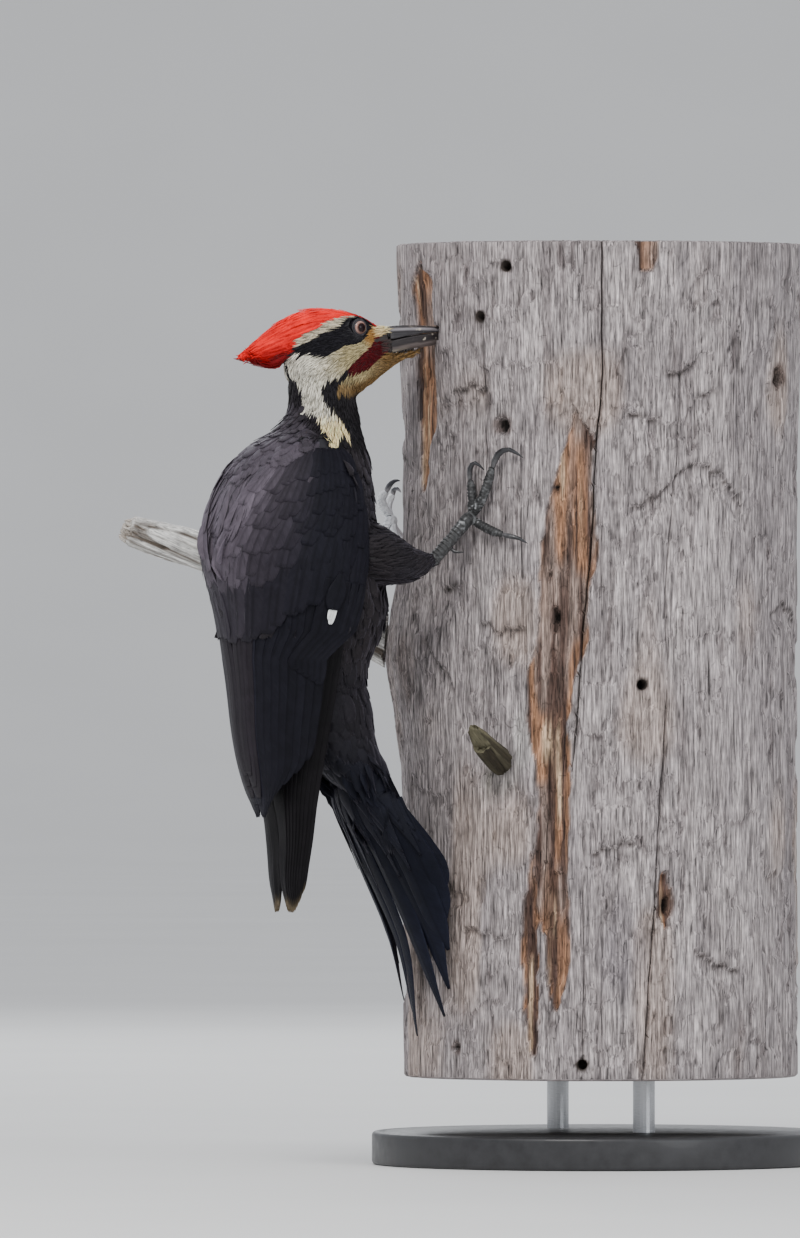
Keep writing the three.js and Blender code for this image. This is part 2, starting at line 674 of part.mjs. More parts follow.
function addLeg(label, side, thighRows, shankRows, toes, claws) {
  const bark = makeLog(GAP);
  const thigh = biggest(cut(sweep(thighRows, 14, 8), wholeWing(side, GAP)));
  show(`thigh_${label}`, thigh, plumage);
  const shank = cut(sweep(shankRows, 10, 6), [sweep(thighRows, 14, 8, GAP), bark]);
  show(`shank_${label}`, biggest(shank), legSkin);
  const taken = [sweep(shankRows, 10, 6, GAP), bark];
  for (const name of Object.keys(toes)) {
    const toe = biggest(cut(digit(toes[name], 8, 5), taken));
    show(`toe_${label}_${name}`, toe, legSkin);
    taken.push(digit(toes[name], 8, 5, GAP));
  }
  for (const name of Object.keys(claws)) {
    const claw = biggest(cut(digit(claws[name], 6, 6), taken));
    show(`claw_${label}_${name}`, claw, clawHorn);
  }
}

addStand();
addPerch();
addBody();
addHead();
addWings();
addTail();
addLeg('right', RIGHT, RIGHT_THIGH, RIGHT_SHANK, RIGHT_TOES, RIGHT_CLAWS);
addLeg('left', LEFT, LEFT_THIGH, LEFT_SHANK, LEFT_TOES, LEFT_CLAWS);

export default group;
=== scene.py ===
"""Male pileated woodpecker on a cut length of dead trunk: skin, plumage, bill, feet, wood and stand."""
import json
import math

import bmesh
import bpy
import numpy as np
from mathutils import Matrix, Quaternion, Vector
from mathutils.bvhtree import BVHTree

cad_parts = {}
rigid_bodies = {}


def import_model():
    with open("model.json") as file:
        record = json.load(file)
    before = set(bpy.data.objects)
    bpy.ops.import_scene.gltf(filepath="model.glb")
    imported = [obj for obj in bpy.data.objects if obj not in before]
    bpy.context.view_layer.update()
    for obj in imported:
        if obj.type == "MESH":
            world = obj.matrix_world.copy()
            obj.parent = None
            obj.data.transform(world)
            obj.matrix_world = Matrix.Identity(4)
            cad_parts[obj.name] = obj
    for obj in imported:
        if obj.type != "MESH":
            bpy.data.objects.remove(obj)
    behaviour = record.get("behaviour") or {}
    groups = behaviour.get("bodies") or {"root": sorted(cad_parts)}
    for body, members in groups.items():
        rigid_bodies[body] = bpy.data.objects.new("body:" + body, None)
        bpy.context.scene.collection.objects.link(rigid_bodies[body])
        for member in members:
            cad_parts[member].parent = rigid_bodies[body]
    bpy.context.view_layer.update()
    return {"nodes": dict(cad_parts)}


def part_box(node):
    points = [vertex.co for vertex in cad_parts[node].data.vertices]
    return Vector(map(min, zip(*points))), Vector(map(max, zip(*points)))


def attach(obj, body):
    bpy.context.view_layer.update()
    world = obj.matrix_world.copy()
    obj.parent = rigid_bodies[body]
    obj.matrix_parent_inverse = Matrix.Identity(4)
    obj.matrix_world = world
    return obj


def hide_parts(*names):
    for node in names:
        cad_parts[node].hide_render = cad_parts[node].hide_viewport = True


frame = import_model()
MM = 0.001
DOUBLES_GAP = 1e-6
# Sign of Y on each side
SIDES = {"left": 1, "right": -1}
TOE_RANKS = ("outer", "inner", "lower", "hind")

# Node groups
TOES = [f"toe_{side}_{toe}" for side in SIDES for toe in TOE_RANKS]
CLAWS = [name.replace("toe", "claw") for name in TOES]
SHANKS = ["shank_left", "shank_right"]
THIGHS = ["thigh_left", "thigh_right"]
WING_ARMS = ["wing_left_coverts", "wing_right_coverts"]
FLESH = ["head", "crest", "neck", "torso"] + WING_ARMS + THIGHS + SHANKS + TOES

# Skin: voxel size, how far copies grow so that they meet, and the depth of the coat over each part
SKIN_VOXEL = 1.05 * MM
MEETING_GROWTH = 0.28 * MM
COAT_DEPTH = {"head": 1.2, "crest": 2.2, "neck": 1.9, "torso": 3.0, "wing": 1.5, "thigh": 1.8}
# How deep the skin lies round the eye, how much deeper at the wings' tops, and its clearance elsewhere
EYE_SKIN_DEPTH = 0.7
WING_TOP_SINK = 3.2
SKIN_CLEARANCE = 0.25

# Colours, linear
BLACK = (0.0125, 0.0115, 0.0150)
BROWN_BLACK = (0.024, 0.019, 0.0195)
# The violet black below and BACK_SHINE are painted sheen: lighter blacks that stand in for the sheen on the
# back, cape, wing coverts and tertials
PAINTED_SHEEN_BLACK = (0.046, 0.0385, 0.049)
BACK_SHINE = (0.130, 0.109, 0.135)
WING_BLACK = (0.0078, 0.0076, 0.0115)
TAIL_BLACK = (0.0055, 0.0062, 0.0115)
PRIMARY_BLACK = (0.0068, 0.0060, 0.0070)
WORN_TIP = (0.26, 0.20, 0.12)
SCARLET = (1.0, 0.019, 0.018)
# Deep red: partly painted shade on the crest's hanging underside
DEEP_RED = (0.125, 0.004, 0.006)
MALAR_RED = (0.088, 0.003, 0.006)
CREAM = (0.79, 0.75, 0.64)
BUFF = (0.95, 0.80, 0.46)
LORE = (0.40, 0.20, 0.05)
CHEEK = (0.46, 0.385, 0.21)
BILL_FOOT_GREY = (0.066, 0.055, 0.052)
# Tan: the chin's own colour, and painted shade along the throat's underside
TAN = (0.22, 0.130, 0.049)
WHITE = (0.86, 0.88, 0.86)
LEG_GREY = (0.024, 0.024, 0.0245)
LEG_PALE = (0.40, 0.41, 0.42)
CLAW_ROOT = (0.085, 0.082, 0.085)
CLAW_TIP = (0.012, 0.012, 0.015)

# Head markings in the head frame, forward and up from the foot of the bill, in millimetres
RED_CROWN = [
    (3, 4.4), (-0.6, 6), (-3.1, 8.2), (-7.1, 11.2), (-11.9, 13.6), (-17.3, 14.6), (-20.9, 14.6),
    (-27.6, 13.2), (-33.9, 11.9), (-41.2, 9.6), (-45.6, 7.1), (-49.8, 3.8), (-53, 0.4), (-54.5, -3.6),
    (-57.5, -7.8), (-62, -13), (-75, -16), (-95, -8), (-60, 30), (0, 24),
]
# The lower edge of the eye stripe, shared with the white stripe below it
STRIPE_EDGE = [(-50.5, -5.1), (-45.7, -4.4), (-41.5, -7.1), (-36.6, -6.6), (-30.4, -3.4), (-24.1, -1.6),
               (-17.5, -1.2), (-12.9, 1.5), (-9.2, 4.6)]
EYE_STRIPE = [
    (-4.5, 7.4), (-7.8, 10.6), (-12.2, 13.6), (-19.4, 13.6), (-23, 12.2), (-26.1, 9.8), (-31.1, 8.1),
    (-37.2, 6.1), (-43, 3.6), (-46.9, 1.8), (-50.3, -0.3), (-52.4, -2.4), (-52.3, -6.2), *STRIPE_EDGE,
]
WHITE_STRIPE = [
    (6, 6), (-4.5, 7.2), *STRIPE_EDGE[::-1], (-52.4, -3), (-56.4, -6.5), (-58.5, -10.5), (-58, -16),
    (-56.8, -22), (-54.8, -26.7), (-53.6, -29.5), (-52, -33.7), (-49.9, -36.8), (-47.4, -39.8),
    (-46.3, -46.3), (-44.6, -50.5), (-43.2, -58), (-40.8, -54), (-39.5, -49.5), (-34.4, -49.5), (-31, -52),
    (-30.4, -47.3), (-32.7, -43.2), (-35, -40.6), (-37.8, -37.4), (-39.6, -34.6), (-40.8, -31.1),
    (-42.3, -26.9), (-42.5, -24.2), (-39.3, -21.1), (-35.1, -19.3), (-30.7, -19), (-28, -15.8),
    (-24.3, -13.3), (-20.9, -11.5), (-16.6, -8), (-12, -4.7), (-6.3, -1.3), (-0.7, 0.6), (6, 1),
]
MALAR = [
    (4, -2), (2.6, -0.6), (-0.1, -0.4), (-6.3, -1.1), (-12, -4.7), (-16.6, -8), (-20.9, -11.5),
    (-24.3, -13.3), (-26.4, -15.5), (-23.6, -17), (-17, -17.2), (-11.8, -15.9), (-7.2, -12.7),
    (-2.6, -9.8), (1.4, -8), (3.6, -6),
]
BROW = [
    (-17, 13.8), (-23, 12.2), (-26.1, 9.6), (-31.1, 7.9), (-37.2, 5.9), (-43, 3.4), (-46.9, 1.6),
    (-50.3, -0.5), (-52.6, -1.8), (-53.3, 0.9), (-49.8, 4.0), (-45.6, 7.3), (-41.2, 9.8), (-33.9, 12.2),
    (-27.6, 13.6), (-20.9, 14.9), (-16, 14.8),
]
THROAT = [
    (30, -2), (8.5, -5.5), (2.7, -8), (-2.6, -9.8), (-7.2, -12.7), (-11.8, -15.9), (-17, -17.2),
    (-23.6, -17), (-25.3, -17.7), (-28.3, -19.8), (-31.2, -23), (-34, -25.5), (-32.7, -27.4), (-27.9, -28),
    (-21.9, -28.4), (-16.5, -28.4), (0, -28), (30, -16),
]
CREST_TIP = (-86, 0, -6)
EYE_TO_BILL_DROP = math.atan2(6.54, 74)
EYE_BEHIND_BILL = 16.5
EYE_ABOVE_BILL = 7

# Heights in metres at which the coat changes, and where the upright axis of the body stands
CAPE_TOP = 0.418
CAPE_FOOT = 0.388
TORSO_TOP = 0.394
VENT_TOP = 0.262
BODY_AXIS_X = -0.190

rng = np.random.default_rng(11)


# ---------------------------------------------------------------- arrays and meshes
def unit(vectors):
    return vectors / np.maximum(np.linalg.norm(vectors, axis=-1, keepdims=True), 1e-12)


def ramp(value, low, high):
    """Smooth step from 0 at low to 1 at high; low may be the larger."""
    share = np.clip((np.asarray(value, float) - low) / (high - low), 0, 1)
    return share * share * (3 - 2 * share)


def blend_colour(first, second, share):
    return np.asarray(first) + (np.asarray(second) - np.asarray(first)) * np.asarray(share)[..., None]


def noise(points, seed):
    """Smooth value noise from -1 to 1 with features one unit across."""
    cell = np.floor(points).astype(np.int64)
    part = points - cell
    part = part * part * (3 - 2 * part)
    total = np.zeros(len(points))
    for corner in np.ndindex(2, 2, 2):
        corner = np.array(corner)
        weight = np.where(corner == 1, part, 1 - part).prod(axis=-1)
        key = ((cell + corner) * (73856093, 19349663, 83492791)).sum(axis=-1) + seed * 50331653
        key = ((key ^ (key >> 13)) * 60493) & 0x7FFFFFFF
        key = ((key ^ (key >> 11)) * 19937) & 0xFFFFFF
        total += weight * (key / 0x7FFFFF - 1)
    return total


def inside(outline, across, up):
    """Which points lie within a closed outline."""
    result = np.zeros(np.shape(across), bool)
    for (x0, y0), (x1, y1) in zip(outline, outline[1:] + outline[:1]):
        straddles = (y0 > up) != (y1 > up)
        with np.errstate(divide="ignore", invalid="ignore"):
            crossing = x0 + (up - y0) * (x1 - x0) / (y1 - y0)
        result ^= straddles & (across < crossing)
    return result


def mesh_points(mesh):
    points = np.empty(len(mesh.vertices) * 3)
    mesh.vertices.foreach_get("co", points)
    return points.reshape(-1, 3)


def mesh_normals(mesh):
    normals = np.empty(len(mesh.vertices) * 3, np.float32)
    mesh.vertices.foreach_get("normal", normals)
    return normals.reshape(-1, 3).astype(float)


def mesh_triangles(mesh):
    mesh.calc_loop_triangles()
    triangles = np.empty(len(mesh.loop_triangles) * 3, np.int32)
    mesh.loop_triangles.foreach_get("vertices", triangles)
    return triangles.reshape(-1, 3)


def set_points(mesh, points):
    mesh.vertices.foreach_set("co", np.asarray(points, np.float32).ravel())
    mesh.update()


def set_tint(mesh, colours):
    layer = mesh.attributes.get("tint") or mesh.attributes.new("tint", "FLOAT_COLOR", "POINT")
    rgba = np.ones((len(colours), 4), np.float32)
    rgba[:, :3] = colours
    layer.data.foreach_set("color", rgba.ravel())


def smooth_shade(mesh):
    mesh.polygons.foreach_set("use_smooth", np.ones(len(mesh.polygons), bool))
    mesh.update()


def linked_object(name, data):
    made = bpy.data.objects.new(name, data)
    bpy.context.scene.collection.objects.link(made)
    return made


def add_object(name, mesh, material, replaced=()):
    """Puts a finished mesh in the scene on the one body, with its material, and hides the parts it replaces.
    """
    piece = linked_object(name, mesh)
    if material is not None:
        mesh.materials.append(material)
    smooth_shade(mesh)
    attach(piece, "root")
    if replaced:
        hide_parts(*replaced)
    return piece


def with_modifiers(mesh, *modifiers):
    """The mesh after the given (type, settings) modifiers."""
    holder = linked_object("holder", mesh)
    for kind, settings in modifiers:
        modifier = holder.modifiers.new(kind.lower(), kind)
        for key, value in settings.items():
            setattr(modifier, key, value)
    graph = bpy.context.evaluated_depsgraph_get()
    made = bpy.data.meshes.new_from_object(holder.evaluated_get(graph))
    bpy.data.objects.remove(holder)
    return made


def mesh_of(shape, name):
    """The mesh of a bmesh, which is freed."""
    mesh = bpy.data.meshes.new(name)
    shape.to_mesh(mesh)
    shape.free()
    return mesh


def add_shape(whole, part):
    """Adds one bmesh to another and frees it."""
    spare = mesh_of(part, "spare")
    whole.from_mesh(spare)
    bpy.data.meshes.remove(spare)


def merged_copy(names, growth=0.0):
    """One mesh of copies of CAD nodes, doubles merged, each grown along its normals."""
    whole = bmesh.new()
    for name in names:
        part = bmesh.new()
        part.from_mesh(frame["nodes"][name].data)
        bmesh.ops.remove_doubles(part, verts=part.verts[:], dist=DOUBLES_GAP)
        part.normal_update()
        for vertex in part.verts:
            vertex.co += vertex.normal * growth
        add_shape(whole, part)
    return mesh_of(whole, "copy")


def remeshed(names, voxel, growth=0.0, rounds=2):
    """A fine, even and smooth version of CAD nodes."""
    fine = {"mode": "VOXEL", "voxel_size": voxel, "use_smooth_shade": True}
    calm = {"factor": 0.5, "iterations": rounds}
    return with_modifiers(merged_copy(names, growth), ("REMESH", fine), ("SMOOTH", calm))


def tree_of(mesh):
    points = mesh_points(mesh)
    return BVHTree.FromPolygons([Vector(p) for p in points], mesh_triangles(mesh).tolist())


def nearest(tree, points):
    """Closest surface points, their normals and their triangle numbers."""
    found = [tree.find_nearest(Vector(p)) for p in points]
    spots = np.array([hit[0] for hit in found])
    normals = np.array([hit[1] for hit in found])
    return spots, normals, np.array([hit[2] for hit in found])


# ---------------------------------------------------------------- frames of the bird
def box_middle(node):
    low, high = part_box(node)
    return (low + high) / 2


def find_head_axes():
    """Forward, left and up of the head, and the foot of the bill, from the eyes and the bill's tip."""
    left = box_middle("eye_left") - box_middle("eye_right")
    left.normalize()
    eyes = (box_middle("eye_left") + box_middle("eye_right")) / 2
    points = mesh_points(frame["nodes"]["bill_upper"].data)
    tip = Vector(points[points[:, 0].argmax()])
    ahead = tip - eyes
    ahead -= left * ahead.dot(left)
    ahead.normalize()
    ahead.rotate(Quaternion(left, -EYE_TO_BILL_DROP))
    up = ahead.cross(left)
    foot = eyes + ahead * (EYE_BEHIND_BILL * MM) - up * (EYE_ABOVE_BILL * MM)
    return np.array([ahead, left, up]), np.array(foot)


HEAD_AXES, BILL_FOOT = find_head_axes()


def to_head(points):
    """Forward, left and up of points from the foot of the bill, in millimetres."""
    return (np.asarray(points) - BILL_FOOT) @ HEAD_AXES.T / MM


def eye_gap(local):
    """Distance from the eye's axis in the side view, in millimetres."""
    return np.hypot(local[:, 0] + EYE_BEHIND_BILL, local[:, 2] - EYE_ABOVE_BILL)


def find_body_line():
    """Height and centre x of the trunk of the body, from the torso and neck solids."""
    points = np.vstack([mesh_points(frame["nodes"][name].data) for name in ("torso", "neck")])
    levels = np.arange(points[:, 2].min(), points[:, 2].max(), 12 * MM)
    middles = []
    for level in levels:
        near = points[np.abs(points[:, 2] - level) < 14 * MM, 0]
        middles.append((near.min() + near.max()) / 2)
    smooth = np.convolve(np.pad(middles, 2, mode="edge"), np.ones(5) / 5, mode="valid")
    return levels, smooth


BODY_LEVELS, BODY_MIDDLES = find_body_line()


def flow(points):
    """The way the coat lies at each point, before it is laid flat on the skin."""
    local = to_head(points)
    ahead, _, up = local.T
    step = 9 * MM
    above = np.interp(points[:, 2] + step, BODY_LEVELS, BODY_MIDDLES)
    below = np.interp(points[:, 2] - step, BODY_LEVELS, BODY_MIDDLES)
    still = np.zeros(len(points))
    down_body = unit(np.stack([(below - above) * 0.8, still, still - 2 * step], axis=1))
    backward = -HEAD_AXES[0] * np.ones((len(points), 1))
    sag = 0.28 * ramp(ahead, 4, -22) * ramp(up, 10, -4)
    on_head = unit(backward - HEAD_AXES[2] * sag[:, None])
    share = ramp(up, -1, -27) * ramp(ahead, 2, -26) + ramp(up, -26, -36)
    share = np.clip(np.maximum(share, ramp(up, -2, -14) * ramp(ahead, -40, -54)), 0, 1)
    lie = unit(on_head * (1 - share[:, None]) + down_body * share[:, None])
    to_tip = unit(np.array(CREST_TIP) - local) @ HEAD_AXES
    crest = (inside(RED_CROWN, ahead, up) * ramp(ahead, -2, -30))[:, None]
    lie = unit(lie * (1 - crest) + to_tip * crest)
    push = np.sign(up - EYE_ABOVE_BILL + 0.3)[:, None] * HEAD_AXES[2]
    near = (ramp(eye_gap(local), 8.5, 4.5) * (up > -4) * (ahead + EYE_BEHIND_BILL > -2))[:, None]
    return unit(lie + push * near * 0.9)


def laid_flat(vectors, normals):
    return unit(vectors - normals * (vectors * normals).sum(axis=1, keepdims=True))


# ---------------------------------------------------------------- markings shared by skin and coat
def bare_bill_foot(local):
    """The wedge at the foot of the upper bill that the nostril tufts leave bare."""
    ahead, _, up = local.T
    ragged = 0.9 * noise(local * 0.9, 6)
    return (ahead > -6.5) & (up > -1.0 + 0.4 * ragged) & (up < 4.6 + 0.75 * ahead + ragged)


def painted(colour, where, over):
    return np.where(where[:, None], over, colour)


def markings(points):
    """The colour of the bird at each point, with painted sheen on the back and painted shade under the crest
    and throat.
    """
    local = to_head(points)
    wander = np.stack([noise(points * 420, 3), noise(points * 420, 4)], axis=1) * 0.55
    ahead = local[:, 0] + wander[:, 0]
    up = local[:, 2] + wander[:, 1]
    height = points[:, 2]
    mottled = 0.5 + 0.5 * noise(points * 60, 5)
    rear = ramp(points[:, 0], -0.185, -0.215)
    colour = blend_colour(BLACK, BROWN_BLACK, mottled * 0.6)
    # Painted sheen: the shoulders, the back's far side and the cape are lightened towards violet blacks where
    # the sheen falls
    shoulder = rear * ramp(height, 0.31, 0.35) * (0.55 + 0.45 * mottled)
    colour = blend_colour(colour, PAINTED_SHEEN_BLACK, np.clip(shoulder, 0, 1))
    shine = ramp(points[:, 0], -0.218, -0.242) * ramp(height, 0.305, 0.335)
    colour = blend_colour(colour, BACK_SHINE, shine)
    cape = ramp(height, 0.420, 0.412) * ramp(height, 0.35, 0.38) * ramp(points[:, 0], -0.180, -0.218)
    colour = blend_colour(colour, BACK_SHINE, 0.38 * cape)
    rump = ramp(height, 0.275, 0.25)
    colour = blend_colour(colour, BLACK, 0.7 * rump)
    colour = blend_colour(colour, TAIL_BLACK, ramp(height, 0.242, 0.212))
    on_head = height > BILL_FOOT[2] - 66 * MM

    def within(outline):
        return inside(outline, ahead, up) & on_head

    nape = (np.abs(local[:, 1]) < 1.5 + 7.5 * ramp(up, -14, -27)) & (ahead < -44) & (up < -8)
    pale = blend_colour(CREAM, CHEEK, ramp(ahead, -50, -24) * ramp(up, -28, -12))
    pale = blend_colour(pale, BUFF, np.clip(ramp(up, -36, -44) + 0.8 * ramp(ahead, -8, -1), 0, 1))
    pale = blend_colour(pale, LORE, 0.95 * ramp(np.hypot(ahead + 7.5, up - 3.2), 9.5, 3.0))
    colour = painted(colour, within(WHITE_STRIPE) & ~nape, pale)
    colour = painted(colour, within(BROW), blend_colour(CREAM, CHEEK, 0.5))
    colour = painted(colour, within(EYE_STRIPE), BLACK)
    # Painted shade: the crest's hanging underside is darkened to deep red; towards the forehead the red is
    # deeper too
    shade_under_crest = ramp(up, 3, -8) * ramp(ahead, -42, -52) * ramp(ahead, -84, -66)
    depth = np.clip(shade_under_crest * 0.95 + 0.7 * ramp(ahead, -24, -8), 0, 1)
    colour = painted(colour, within(RED_CROWN), blend_colour(SCARLET, DEEP_RED, depth))
    # Painted shade: the throat darkens to tan along its midline and lower edge; towards the bill the tan is
    # the chin's own
    keel = ramp(np.abs(local[:, 1]), 14, 6)
    brown = 0.10 + 0.5 * keel + 0.4 * ramp(ahead, -24, 6) + 0.8 * ramp(up, -19, -25)
    under = blend_colour(np.array(CHEEK) * 1.15, TAN, np.clip(brown, 0, 1))
    colour = painted(colour, within(THROAT), under)
    colour = painted(colour, within(MALAR), blend_colour(MALAR_RED, BILL_FOOT_GREY, ramp(ahead, -2, 2.5)))
    return painted(colour, bare_bill_foot(local) & on_head, BILL_FOOT_GREY)


# ---------------------------------------------------------------- skin
def part_of(name):
    return next((part for part in COAT_DEPTH if name.startswith(part)), "bare")


def make_skin():
    """The one skin of the bird, inside the flesh solids by the coat's depth."""
    mesh = remeshed(FLESH, SKIN_VOXEL, MEETING_GROWTH, 5)
    owners = []
    corners = []
    triangles = []
    for number, name in enumerate(FLESH):
        points = mesh_points(frame["nodes"][name].data)
        faces = mesh_triangles(frame["nodes"][name].data) + len(corners)
        corners.extend(points.tolist())
        triangles.extend(faces.tolist())
        owners.extend([number] * len(faces))
    tree = BVHTree.FromPolygons(corners, triangles)
    points = mesh_points(mesh)
    faces = nearest(tree, points)[2]
    labels = np.array(owners)[faces]
    depths = np.array([COAT_DEPTH.get(part_of(name), 0.0) for name in FLESH])[labels]
    edges = np.empty(len(mesh.edges) * 2, np.int32)
    mesh.edges.foreach_get("vertices", edges)
    first, second = edges.reshape(-1, 2).T
    degree = np.bincount(edges, minlength=len(points))
    local = to_head(points)
    depths = np.where((eye_gap(local) < 7) & (local[:, 2] > -4), EYE_SKIN_DEPTH, depths)
    on_wing = np.array([name.startswith("wing") for name in FLESH])[labels]
    depths = depths + WING_TOP_SINK * on_wing * ramp(points[:, 2], 0.382, 0.391)
    for _ in range(6):
        spread = np.bincount(first, depths[second], len(points))
        spread = spread + np.bincount(second, depths[first], len(points))
        depths = 0.4 * depths + 0.6 * spread / degree
    depths = (depths + SKIN_CLEARANCE) * MM
    normals = mesh_normals(mesh)
    set_points(mesh, points - normals * depths[:, None])
    return mesh, labels, points - normals * MEETING_GROWTH


SKIN, LABELS, COAT_POINTS = make_skin()
SKIN_POINTS = mesh_points(SKIN)
SKIN_NORMALS = mesh_normals(SKIN)
SKIN_TRIANGLES = mesh_triangles(SKIN)
SKIN_TREE = tree_of(SKIN)


def labelled(*names):
    numbers = [i for i, name in enumerate(FLESH) if name.startswith(names)]
    return np.isin(LABELS, numbers)


def tint_skin():
    # Painted shade: the skin takes the coat's colours darkened to 0.7, for the gaps between the feathers
    colours = markings(COAT_POINTS) * 0.7
    colours = painted(colours, labelled("wing"), WING_BLACK)
    patches = 0.5 + 0.5 * noise(SKIN_POINTS * 500, 9)
    bare = blend_colour(LEG_GREY, LEG_PALE, 0.35 * patches)
    set_tint(SKIN, painted(colours, labelled("shank", "toe"), bare))


def unwrap_skin():
    """An unwrap of the skin's own shape, used by every tuft."""
    holder = linked_object("unwrapping", SKIN)
    bpy.context.view_layer.objects.active = holder
    holder.select_set(True)
    SKIN.uv_layers.new(name="OFBake")
    bpy.ops.object.mode_set(mode="EDIT")
    bpy.ops.mesh.select_all(action="SELECT")
    bpy.ops.uv.smart_project(angle_limit=math.radians(66), island_margin=0.002)
    bpy.ops.object.mode_set(mode="OBJECT")
    bpy.data.objects.remove(holder)
    uvs = np.empty(len(SKIN.loops) * 2, np.float32)
    SKIN.uv_layers["OFBake"].data.foreach_get("uv", uvs)
    SKIN.calc_loop_triangles()
    loops = np.empty(len(SKIN.loop_triangles) * 3, np.int32)
    SKIN.loop_triangles.foreach_get("loops", loops)
    return uvs.reshape(-1, 2)[loops.reshape(-1, 3)]


tint_skin()
SKIN_UVS = unwrap_skin()


# ---------------------------------------------------------------- roots of feathers
# Roots tried for each one that fits between its neighbours
CROWDING = 4.0


def scatter(wanted, gap):
    """Roots over the wanted triangles, gap(points) apart: points, normals, map places, points on the coat."""
    chosen = np.flatnonzero(wanted)
    a, b, c = (SKIN_POINTS[SKIN_TRIANGLES[chosen, k]] for k in range(3))
    areas = np.linalg.norm(np.cross(b - a, c - a), axis=1) / 2
    gaps = gap((a + b + c) / 3)
    weights = areas / gaps ** 2
    count = int(weights.sum() * CROWDING)
    picked = chosen[rng.choice(len(chosen), count, p=weights / weights.sum())]
    u, v = rng.random((2, count))
    flip = u + v > 1
    u, v = np.where(flip, 1 - u, u), np.where(flip, 1 - v, v)
    shares = np.stack([1 - u - v, u, v], axis=1)[:, :, None]
    corners = SKIN_TRIANGLES[picked]
    points = (SKIN_POINTS[corners] * shares).sum(axis=1)
    normals = unit((SKIN_NORMALS[corners] * shares).sum(axis=1))
    places = (SKIN_UVS[picked] * shares).sum(axis=1)
    outer = (COAT_POINTS[corners] * shares).sum(axis=1)
    kept = thinned(points, gap(points))
    return points[kept], normals[kept], places[kept], outer[kept]


def thinned(points, gaps):
    """Numbers of the points that keep their gap to all those kept before them."""
    size = float(gaps.max())
    cells = {}
    kept = []
    keys = np.floor(points / size).astype(int).tolist()
    spots = points.tolist()
    around = [(i, j, k) for i in (-1, 0, 1) for j in (-1, 0, 1) for k in (-1, 0, 1)]
    for number, ((i, j, k), (x, y, z), gap) in enumerate(zip(keys, spots, gaps.tolist())):
        limit = gap * gap
        clear = True
        for di, dj, dk in around:
            for px, py, pz in cells.get((i + di, j + dj, k + dk), ()):
                if (px - x) ** 2 + (py - y) ** 2 + (pz - z) ** 2 < limit:
                    clear = False
                    break
            if not clear:
                break
        if clear:
            kept.append(number)
            cells.setdefault((i, j, k), []).append((x, y, z))
    return np.array(kept, int)


# ---------------------------------------------------------------- feather shapes
def finish_template(shape):
    bmesh.ops.recalc_face_normals(shape, faces=shape.faces[:])
    bmesh.ops.triangulate(shape, faces=shape.faces[:])
    shape.verts.index_update()
    points = np.array([vertex.co for vertex in shape.verts])
    faces = np.array([[vertex.index for vertex in face.verts] for face in shape.faces])
    shape.free()
    return points, faces


def vane(rows, columns, outline, fray=0.0):
    """A flat feather from 0 to 1 along X, half as wide as outline says, with a split edge at its tip."""
    shape = bmesh.new()
    bmesh.ops.create_grid(shape, x_segments=rows, y_segments=columns, size=0.5)
    for vertex in shape.verts:
        along = vertex.co.x + 0.5
        across = vertex.co.y * 2
        column = round((vertex.co.y + 0.5) * columns)
        notch = fray * (column % 2) * ramp(along, 0.55, 1)
        vertex.co = (along - notch, across * outline(along), 0)
    bmesh.ops.solidify(shape, geom=shape.faces[:], thickness=1.0)
    return finish_template(shape)


def blade():
    """A tiny three-sided tuft from 0 to 1 along X, ridged on top."""
    shape = bmesh.new()
    bmesh.ops.create_cone(shape, segments=3, radius1=1, radius2=0, depth=1, cap_ends=True)
    long_edges = [edge for edge in shape.edges if abs(edge.verts[0].co.z - edge.verts[1].co.z) > 0.5]
    bmesh.ops.subdivide_edges(shape, edges=long_edges, cuts=2)
    for vertex in shape.verts:
        along = vertex.co.z + 0.5
        turn = math.atan2(vertex.co.y, vertex.co.x)
        reach = 0 if along > 0.99 else (0.55, 1.0, 0.8)[round(along * 3)]
        vertex.co = (along, math.sin(turn) * reach / 0.87, math.cos(turn) * reach - 0.4)
    return finish_template(shape)


def round_end(along, start, run):
    """1 up to the start and then a quarter ellipse over the run."""
    return math.sqrt(max(0.0, 1 - max(0.0, (along - start) / run) ** 2))


def rounded(along):
    return (0.3 + 0.7 * ramp(along, 0, 0.5)) * round_end(along, 0.62, 0.42)


def lanceolate(along):
    return (0.35 + 0.65 * ramp(along, 0, 0.35)) * (1 - 0.93 * ramp(along, 0.35, 1.0))


CONTOUR = vane(4, 4, rounded, fray=0.07)
PLUME = vane(5, 2, lanceolate)
TUFT = blade()
QUILL_COVERT = vane(11, 10, rounded, fray=0.022)


def join_vanes(name, points, faces, tints, places, fibres, material):
    """One mesh of many vanes: points and tints per vane and corner, map places, and along-across fibres."""
    count, corners = points.shape[:2]
    mesh = bpy.data.meshes.new(name)
    offsets = (np.arange(count) * corners)[:, None, None]
    index = (faces[None] + offsets).reshape(-1, 3)
    mesh.from_pydata(points.reshape(-1, 3), [], index)
    set_tint(mesh, tints.reshape(-1, 3))
    for label, values in (("OFBake", places), ("Fibre", fibres)):
        layer = mesh.uv_layers.new(name=label)
        layer.data.foreach_set("uv", values.reshape(-1, 2)[index.ravel()].astype(np.float32).ravel())
    return add_object(name, mesh, material)


def varied(values, spread, low, high):
    return values * (1 + spread * rng.standard_normal(len(values))).clip(low, high)


